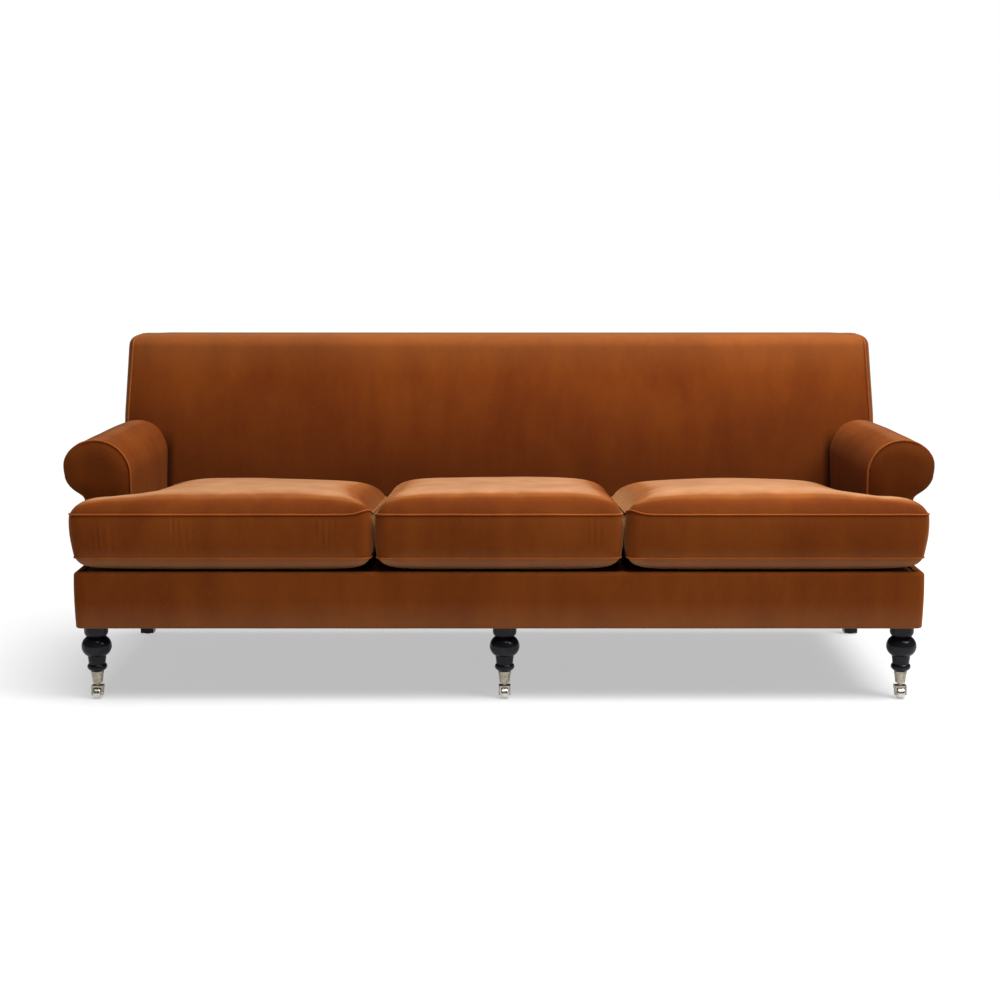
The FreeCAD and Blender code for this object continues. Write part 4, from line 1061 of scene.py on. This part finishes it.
def planMesh(kind):
    # Plan points, quads and the outer loop in order, anticlockwise from above
    b = cushionBook
    xs, ys, inside, corners = seatPlan(kind)
    index = {}
    points = []
    for j, y in enumerate(ys):
        for i, x in enumerate(xs):
            if inside(x, y):
                index[i, j] = len(points)
                px, py = x, y
                for cx, cy, sx, sy in corners:
                    a, c = (x - cx) * sx, (y - cy) * sy
                    if a < b["cornerPatch"] and c < b["cornerPatch"]:
                        ra, rc = roundedCorner(a, c, b["corner"], b["cornerPatch"])
                        px, py = cx + sx * ra, cy + sy * rc
                points.append((px, py))
    quads = []
    for j in range(len(ys) - 1):
        for i in range(len(xs) - 1):
            corner = [(i, j), (i + 1, j), (i + 1, j + 1), (i, j + 1)]
            if all(k in index for k in corner) and inside((xs[i] + xs[i + 1]) / 2, (ys[j] + ys[j + 1]) / 2):
                quads.append(tuple(index[k] for k in corner))
    used = set(map(tuple, edgePairs(quads).tolist()))
    following = {first: second for first, second in used if (second, first) not in used}
    loop = [min(following)]
    while following[loop[-1]] != loop[0]:
        loop.append(following[loop[-1]])
    return np.array(points), quads, loop


def edgeDistance(points, loop):
    # Distance of every point from the seam, and the place in the loop that is nearest
    a = points[loop]
    d = np.roll(a, -1, axis=0) - a
    length = (d ** 2).sum(1)
    near = np.full(len(points), np.inf)
    which = np.zeros(len(points), int)
    for k in range(len(a)):
        t = np.clip(((points - a[k]) @ d[k]) / length[k], 0, 1)
        away = np.hypot(*(points - a[k] - t[:, None] * d[k]).T)
        which = np.where(away < near, k, which)
        near = np.minimum(near, away)
    return near, which


def filmShare(count, quads, loop, reach):
    # Height from 0 to 1 of a film that is sewn down along the loop and blown up evenly;
    # it levels off at about the reach from the seam
    matrix = np.zeros((count, count))
    first, second = edgePairs(quads).T
    matrix[first, second] = matrix[second, first] = -1.0
    np.fill_diagonal(matrix, -matrix.sum(1) + (cushionBook["step"] / reach) ** 2)
    free = np.setdiff1d(np.arange(count), loop)
    film = np.zeros(count)
    film[free] = np.linalg.solve(matrix[np.ix_(free, free)], np.ones(len(free)))
    return film / film.max()


def relax(values, faces, free, passes):
    # Averages each free value with its neighbours
    first, second = edgePairs(faces).T
    count = np.zeros(len(values))
    np.add.at(count, first, 1)
    np.add.at(count, second, 1)
    shape = (-1,) + (1,) * (values.ndim - 1)
    for _ in range(passes):
        total = np.zeros_like(values)
        np.add.at(total, first, values[second])
        np.add.at(total, second, values[first])
        mean = total / count.reshape(shape)
        values = np.where(free.reshape(shape), values * 0.5 + mean * 0.5, values)
    return values


def outwardOf(loopPoints):
    ahead = np.roll(loopPoints, -1, axis=0) - np.roll(loopPoints, 1, axis=0)
    out = np.stack([ahead[:, 1], -ahead[:, 0]], axis=1)
    return out / np.linalg.norm(out, axis=1)[:, None]


def seamHeight(x, y, kind):
    # The top seam falls rearward, and rises a little at an end cushion's inner front corner
    b = cushionBook
    lift = 0.0
    if kind == "end":
        away = (x - b["splitX"]) ** 2 + (y - b["frontY"]) ** 2
        lift = b["cornerLift"] * np.exp(-away / b["liftReach"] ** 2)
    return b["topSeam"] - b["pitch"] * (y - b["frontY"]) + lift


def cushionMesh(kind, seed):
    # Points, faces, which points aren't sewn, which lie on the deck, and the two seams
    b = cushionBook
    plan, quads, loop = planMesh(kind)
    count = len(plan)
    near, which = edgeDistance(plan, loop)
    wave = np.array([ripple(x + seed, y, seed, 5.0, 0.004) + ripple(x, y + seed, 3.0, 12.0, 0.0010)
                     for x, y in plan])
    rise = filmShare(count, quads, loop, b["edgeReach"][kind]) ** b["edgeFullness"]
    dome = filmShare(count, quads, loop, b["domeReach"]) ** b["domeFullness"]
    crown = b["edgeRise"][kind] * rise + b["dome"][kind] * dome
    belly = filmShare(count, quads, loop, b["bellyReach"]) ** b["bellyFullness"]
    seam = seamHeight(plan[:, 0], plan[:, 1], kind)
    height = relax(crown + wave * np.clip(near / b["waveFade"], 0, 1), quads, near > 0.02, 3)
    top = np.column_stack([plan, seam + height])
    rim = plan[loop]
    out = outwardOf(rim)
    # The underside is drawn in, but not where two cushions press against each other
    pressed = np.abs(out[which][:, 0]) if kind == "middle" else np.clip(-out[which][:, 0], 0, 1)
    draw = b["lowDraw"] * (1.0 - b["pressedShare"] * pressed) * np.exp(-near / b["drawReach"])
    lowPlan = plan - out[which] * draw[:, None]
    drop = (b["lowSeam"] - b["bottom"]) * belly * b["bellyDrop"]
    under = np.column_stack([lowPlan, np.maximum(b["lowSeam"] - drop, b["bottom"])])
    lowRim = lowPlan[loop]
    points = [top, under]
    faces = list(quads) + [tuple(i + count for i in q[::-1]) for q in quads]
    levels = [np.array(loop)]
    rimZ = seam[loop]
    for row in range(1, b["boxingRows"]):
        t = row / b["boxingRows"]
        push = math.sin(math.pi * t ** 0.7) ** 0.6 * b["bulge"]
        ring = rim + (lowRim - rim) * t ** 2.0 + out * push
        points.append(np.column_stack([ring, rimZ * (1 - t) + b["lowSeam"] * t]))
        levels.append(2 * count + (row - 1) * len(loop) + np.arange(len(loop)))
    levels.append(np.array(loop) + count)
    for upper, lower in zip(levels, levels[1:]):
        corners = [np.roll(upper, -1), upper, lower, np.roll(lower, -1)]
        faces += [tuple(face) for face in np.column_stack(corners).tolist()]
    points = np.vstack(points)
    free = np.ones(len(points), bool)
    free[levels[0]] = free[levels[-1]] = False
    resting = (np.nonzero(under[:, 2] < b["bottom"] + 0.001)[0] + count).tolist()
    seams = [np.column_stack([rim + out * b["weltOut"], rimZ]),
             np.column_stack([lowRim + out * b["weltOut"], np.full(len(loop), b["lowSeam"])])]
    return points, faces, free, resting, seams


def settleCloth(piece, free, resting, faces):
    # Swells the sewn cover against its seams. The folds that come of it are kept, and only a
    # small share of the even swelling, so that the cushion keeps its form
    b = cushionBook
    group = piece.vertex_groups.new(name="sewn")
    group.add(np.nonzero(~free)[0].tolist(), 1.0, "REPLACE")
    group.add(resting, b["restingHold"], "REPLACE")
    cloth = piece.modifiers.new("cover", "CLOTH")
    for key, value in clothBook.items():
        setattr(cloth.settings, key, value)
    cloth.settings.effector_weights.gravity = 0.0
    cloth.collision_settings.use_collision = False
    cloth.point_cache.frame_start = 1
    cloth.point_cache.frame_end = b["frames"]
    start = np.array([v.co for v in piece.data.vertices])
    for step in range(1, b["frames"] + 1):
        scene.frame_set(step)
    graph = bpy.context.evaluated_depsgraph_get()
    moved = np.array([v.co for v in piece.evaluated_get(graph).to_mesh().vertices])
    piece.modifiers.clear()
    scene.frame_set(1)
    shift = moved - start
    even = relax(shift, faces, free, 40)
    shift = (shift - even) * b["foldShare"] + even * b["swellShare"]
    size = np.linalg.norm(shift, axis=1)
    print("  cover moved up to %.1f mm, mean %.1f mm" % (size.max() * 1000, size.mean() * 1000))
    return start + shift * np.minimum(1.0, b["reach"] / np.maximum(size, 1e-9))[:, None]


def keepInside(points, kind):
    # Nothing passes the gap to the next cushion, the arm, the back or the deck
    b = cushionBook
    gap = b["gap"] / 2
    if kind == "middle":
        points[:, 0] = np.clip(points[:, 0], gap - b["splitX"], b["splitX"] - gap)
    else:
        points[:, 0] = np.maximum(points[:, 0], b["splitX"] + gap)
        besideArm = points[:, 1] > b["earRearY"] + 0.004
        points[besideArm, 0] = np.minimum(points[besideArm, 0], b["mainX"])
        overEar = points[:, 0] > b["mainX"] + 0.003
        points[overEar, 1] = np.minimum(points[overEar, 1], b["earRearY"])
    points[:, 1] = np.minimum(points[:, 1], b["rearY"])
    points[:, 2] = np.maximum(points[:, 2], b["bottom"])


def makeCushion(name, kind, side, body, seed):
    points, faces, free, resting, seams = cushionMesh(kind, seed)
    piece = makePiece(name, points, faces)
    points = settleCloth(piece, free, resting, faces)
    bpy.data.objects.remove(piece)
    points = relax(points, faces, free, 2)
    keepInside(points, kind)
    points[:, 0] *= side
    piece = makePiece(name, points, faces if side > 0 else [f[::-1] for f in faces])
    refine(piece, 1)
    settleModifiers(piece)
    dress(piece, body, "velvet", body + "_core", body + "_cover", finish=seatVelvet)
    paths = [[(side * x, y, z) for x, y, z in seam] for seam in seams]
    makeWelts(name + "Welts", paths, cushionBook["weltRadius"], True, body)


zipBook = {
    "height": 0.3945, "surface": 0.1840, "tapeHalf": 0.0125, "margin": 0.045, "tapeWall": 0.0009,
    "tapeOut": 0.0010, "groove": 0.0006, "grooveHalf": 0.004, "endGap": 0.004, "toothOut": 0.0012,
    "tooth": (0.0016, 0.0014, 0.0046), "pitch": 0.0030, "bevel": 0.0005,
    "slider": (((-0.012, 0.0022, 0.0), (0.010, 0.0028, 0.0085)),
               ((-0.0135, 0.0040, -0.001), (0.004, 0.0014, 0.004)),
               ((-0.0135, 0.0048, -0.014), (0.006, 0.0012, 0.026))),
}


def makeZip(name, x0, x1, body):
    # Tape, teeth and slider along the rear boxing
    b = zipBook
    x0, x1 = x0 + b["margin"], x1 - b["margin"]
    z, y = b["height"], b["surface"]
    tape = []
    for dz in np.linspace(-b["tapeHalf"], b["tapeHalf"], 9):
        level = z + dz
        out = y + b["tapeOut"] - b["groove"] * max(0.0, 1.0 - abs(dz) / b["grooveHalf"])
        xs = steps(x0, x1, 0.01)
        tape.append([(x, out + ripple(x, level, 2.0, 20.0, 0.0006), level) for x in xs])
    piece = gridPiece(name + "Tape", tape)
    thicken(piece, b["tapeWall"], (0.0, 1.0, 0.0))
    dress(piece, body, "velvet", finish=zipTape)
    path = [(x0 + b["endGap"], y + b["toothOut"], z), (x1 - b["endGap"], y + b["toothOut"], z)]
    teeth = grown(name + "Teeth", [path], False, blockRow, Spacing=b["pitch"], Size=b["tooth"],
                  Skew=0.0, Finish=zipMetal)
    dress(teeth, body, "bright_nickel", finish=zipMetal)
    teeth.data.shade_flat()
    shape = bmesh.new()
    for (dx, dy, dz), size in b["slider"]:
        made = bmesh.ops.create_cube(shape, size=1.0)
        bmesh.ops.scale(shape, vec=size, verts=made["verts"])
        bmesh.ops.translate(shape, vec=(x1 + dx, y + dy, z + dz), verts=made["verts"])
    bmesh.ops.bevel(shape, geom=shape.edges[:], offset=b["bevel"], segments=2, affect="EDGES")
    mesh = bpy.data.meshes.new(name + "Slider")
    shape.to_mesh(mesh)
    shape.free()
    dress(placed(name + "Slider", mesh), body, "bright_nickel", finish=zipMetal)


makeCushion("cushionLeft", "end", -1, "cushion_left", 1.7)
makeCushion("cushionMiddle", "middle", 1, "cushion_middle", 5.1)
makeCushion("cushionRight", "end", 1, "cushion_right", 9.3)
makeZip("zipLeft", -cushionBook["mainX"], -cushionBook["splitX"], "cushion_left")
makeZip("zipMiddle", -cushionBook["splitX"], cushionBook["splitX"], "cushion_middle")
makeZip("zipRight", cushionBook["splitX"], cushionBook["mainX"], "cushion_right")
print("cushions made")


# Stage, lights and camera

stageBook = {
    "floorHalf": 40.0, "floorTone": 0.36, "floorGlow": 0.49, "worldFill": 0.12,
    "sunPower": 4.4, "sunAngle": 50.0, "sunFrom": (0.9, -0.4, 4.0),
    "lens": 66.38, "sensor": 36.0, "shiftX": 0.001, "cameraAt": (0.0, -4.867, 1.179), "cameraTilt": 81.366,
    "farEnd": 200.0,
    "key": {"power": 60.0, "place": (2.6, -1.6, 2.9), "target": (0.1, 0.1, 0.5), "size": (1.6, 1.2)},
    "canopy": {"power": 27.0, "place": (0.75, -0.45, 2.2), "target": (0.25, 0.15, 0.7), "size": (1.7, 0.8)},
}


def makeFloor():
    half = stageBook["floorHalf"]
    rows = [[(x, y, 0.0) for x in steps(-half, half, half / 4)] for y in steps(-half, half, half / 4)]
    floor = gridPiece("floor", rows)
    turnOut(floor, (0.0, 0.0, 1.0))
    tone = stageBook["floorTone"]
    finish = Finish("paleFloor", Roughness=0.9, Specular_IOR_Level=0.0,
                    Emission_Strength=stageBook["floorGlow"], Emission_Color=(1.0, 1.0, 1.0, 1.0))
    mottle = finish.spread(finish.cloud(finish.place, 1.5), 0.3, 0.7)
    colour = finish.blend(mottle, (tone, tone, tone), (tone * 1.02, tone * 1.02, tone * 1.02))
    floor.data.materials.append(finish.feed(Base_Color=colour))


def makeWorld():
    world = bpy.data.worlds.new("studio")
    world.use_nodes = True
    scene.world = world
    graph = Graph(world.node_tree)
    direct = graph.add("ShaderNodeLightPath").output("Is Camera Ray")
    fill = stageBook["worldFill"]
    colour = graph.blend(direct, (fill, fill, fill), (1.0, 1.0, 1.0))
    world.node_tree.links.new(colour.socket, world.node_tree.nodes["Background"].inputs["Color"])


def makeLight(name, kind, power, place, target):
    data = bpy.data.lights.new(name, kind)
    data.energy = power
    lamp = placed(name, data)
    lamp.location = place
    lamp.rotation_euler = (Vector(target) - Vector(place)).to_track_quat("-Z", "Y").to_euler()
    return data


def makeLights():
    b = stageBook
    sun = makeLight("overhead", "SUN", b["sunPower"], b["sunFrom"], (0.0, 0.0, 0.0))
    sun.angle = math.radians(b["sunAngle"])
    for name in ("key", "canopy"):
        box = b[name]
        data = makeLight(name, "AREA", box["power"], box["place"], box["target"])
        data.shape = "RECTANGLE"
        data.size, data.size_y = box["size"]


def makeCamera():
    b = stageBook
    data = bpy.data.cameras.new("studioCamera")
    data.lens = b["lens"]
    data.sensor_width = b["sensor"]
    data.shift_x = b["shiftX"]
    data.clip_end = b["farEnd"]
    camera = placed("studioCamera", data)
    camera.location = b["cameraAt"]
    camera.rotation_euler = (math.radians(b["cameraTilt"]), 0.0, 0.0)
    scene.camera = camera


makeFloor()
makeWorld()
makeLights()
makeCamera()
scene.view_settings.view_transform = "Standard"
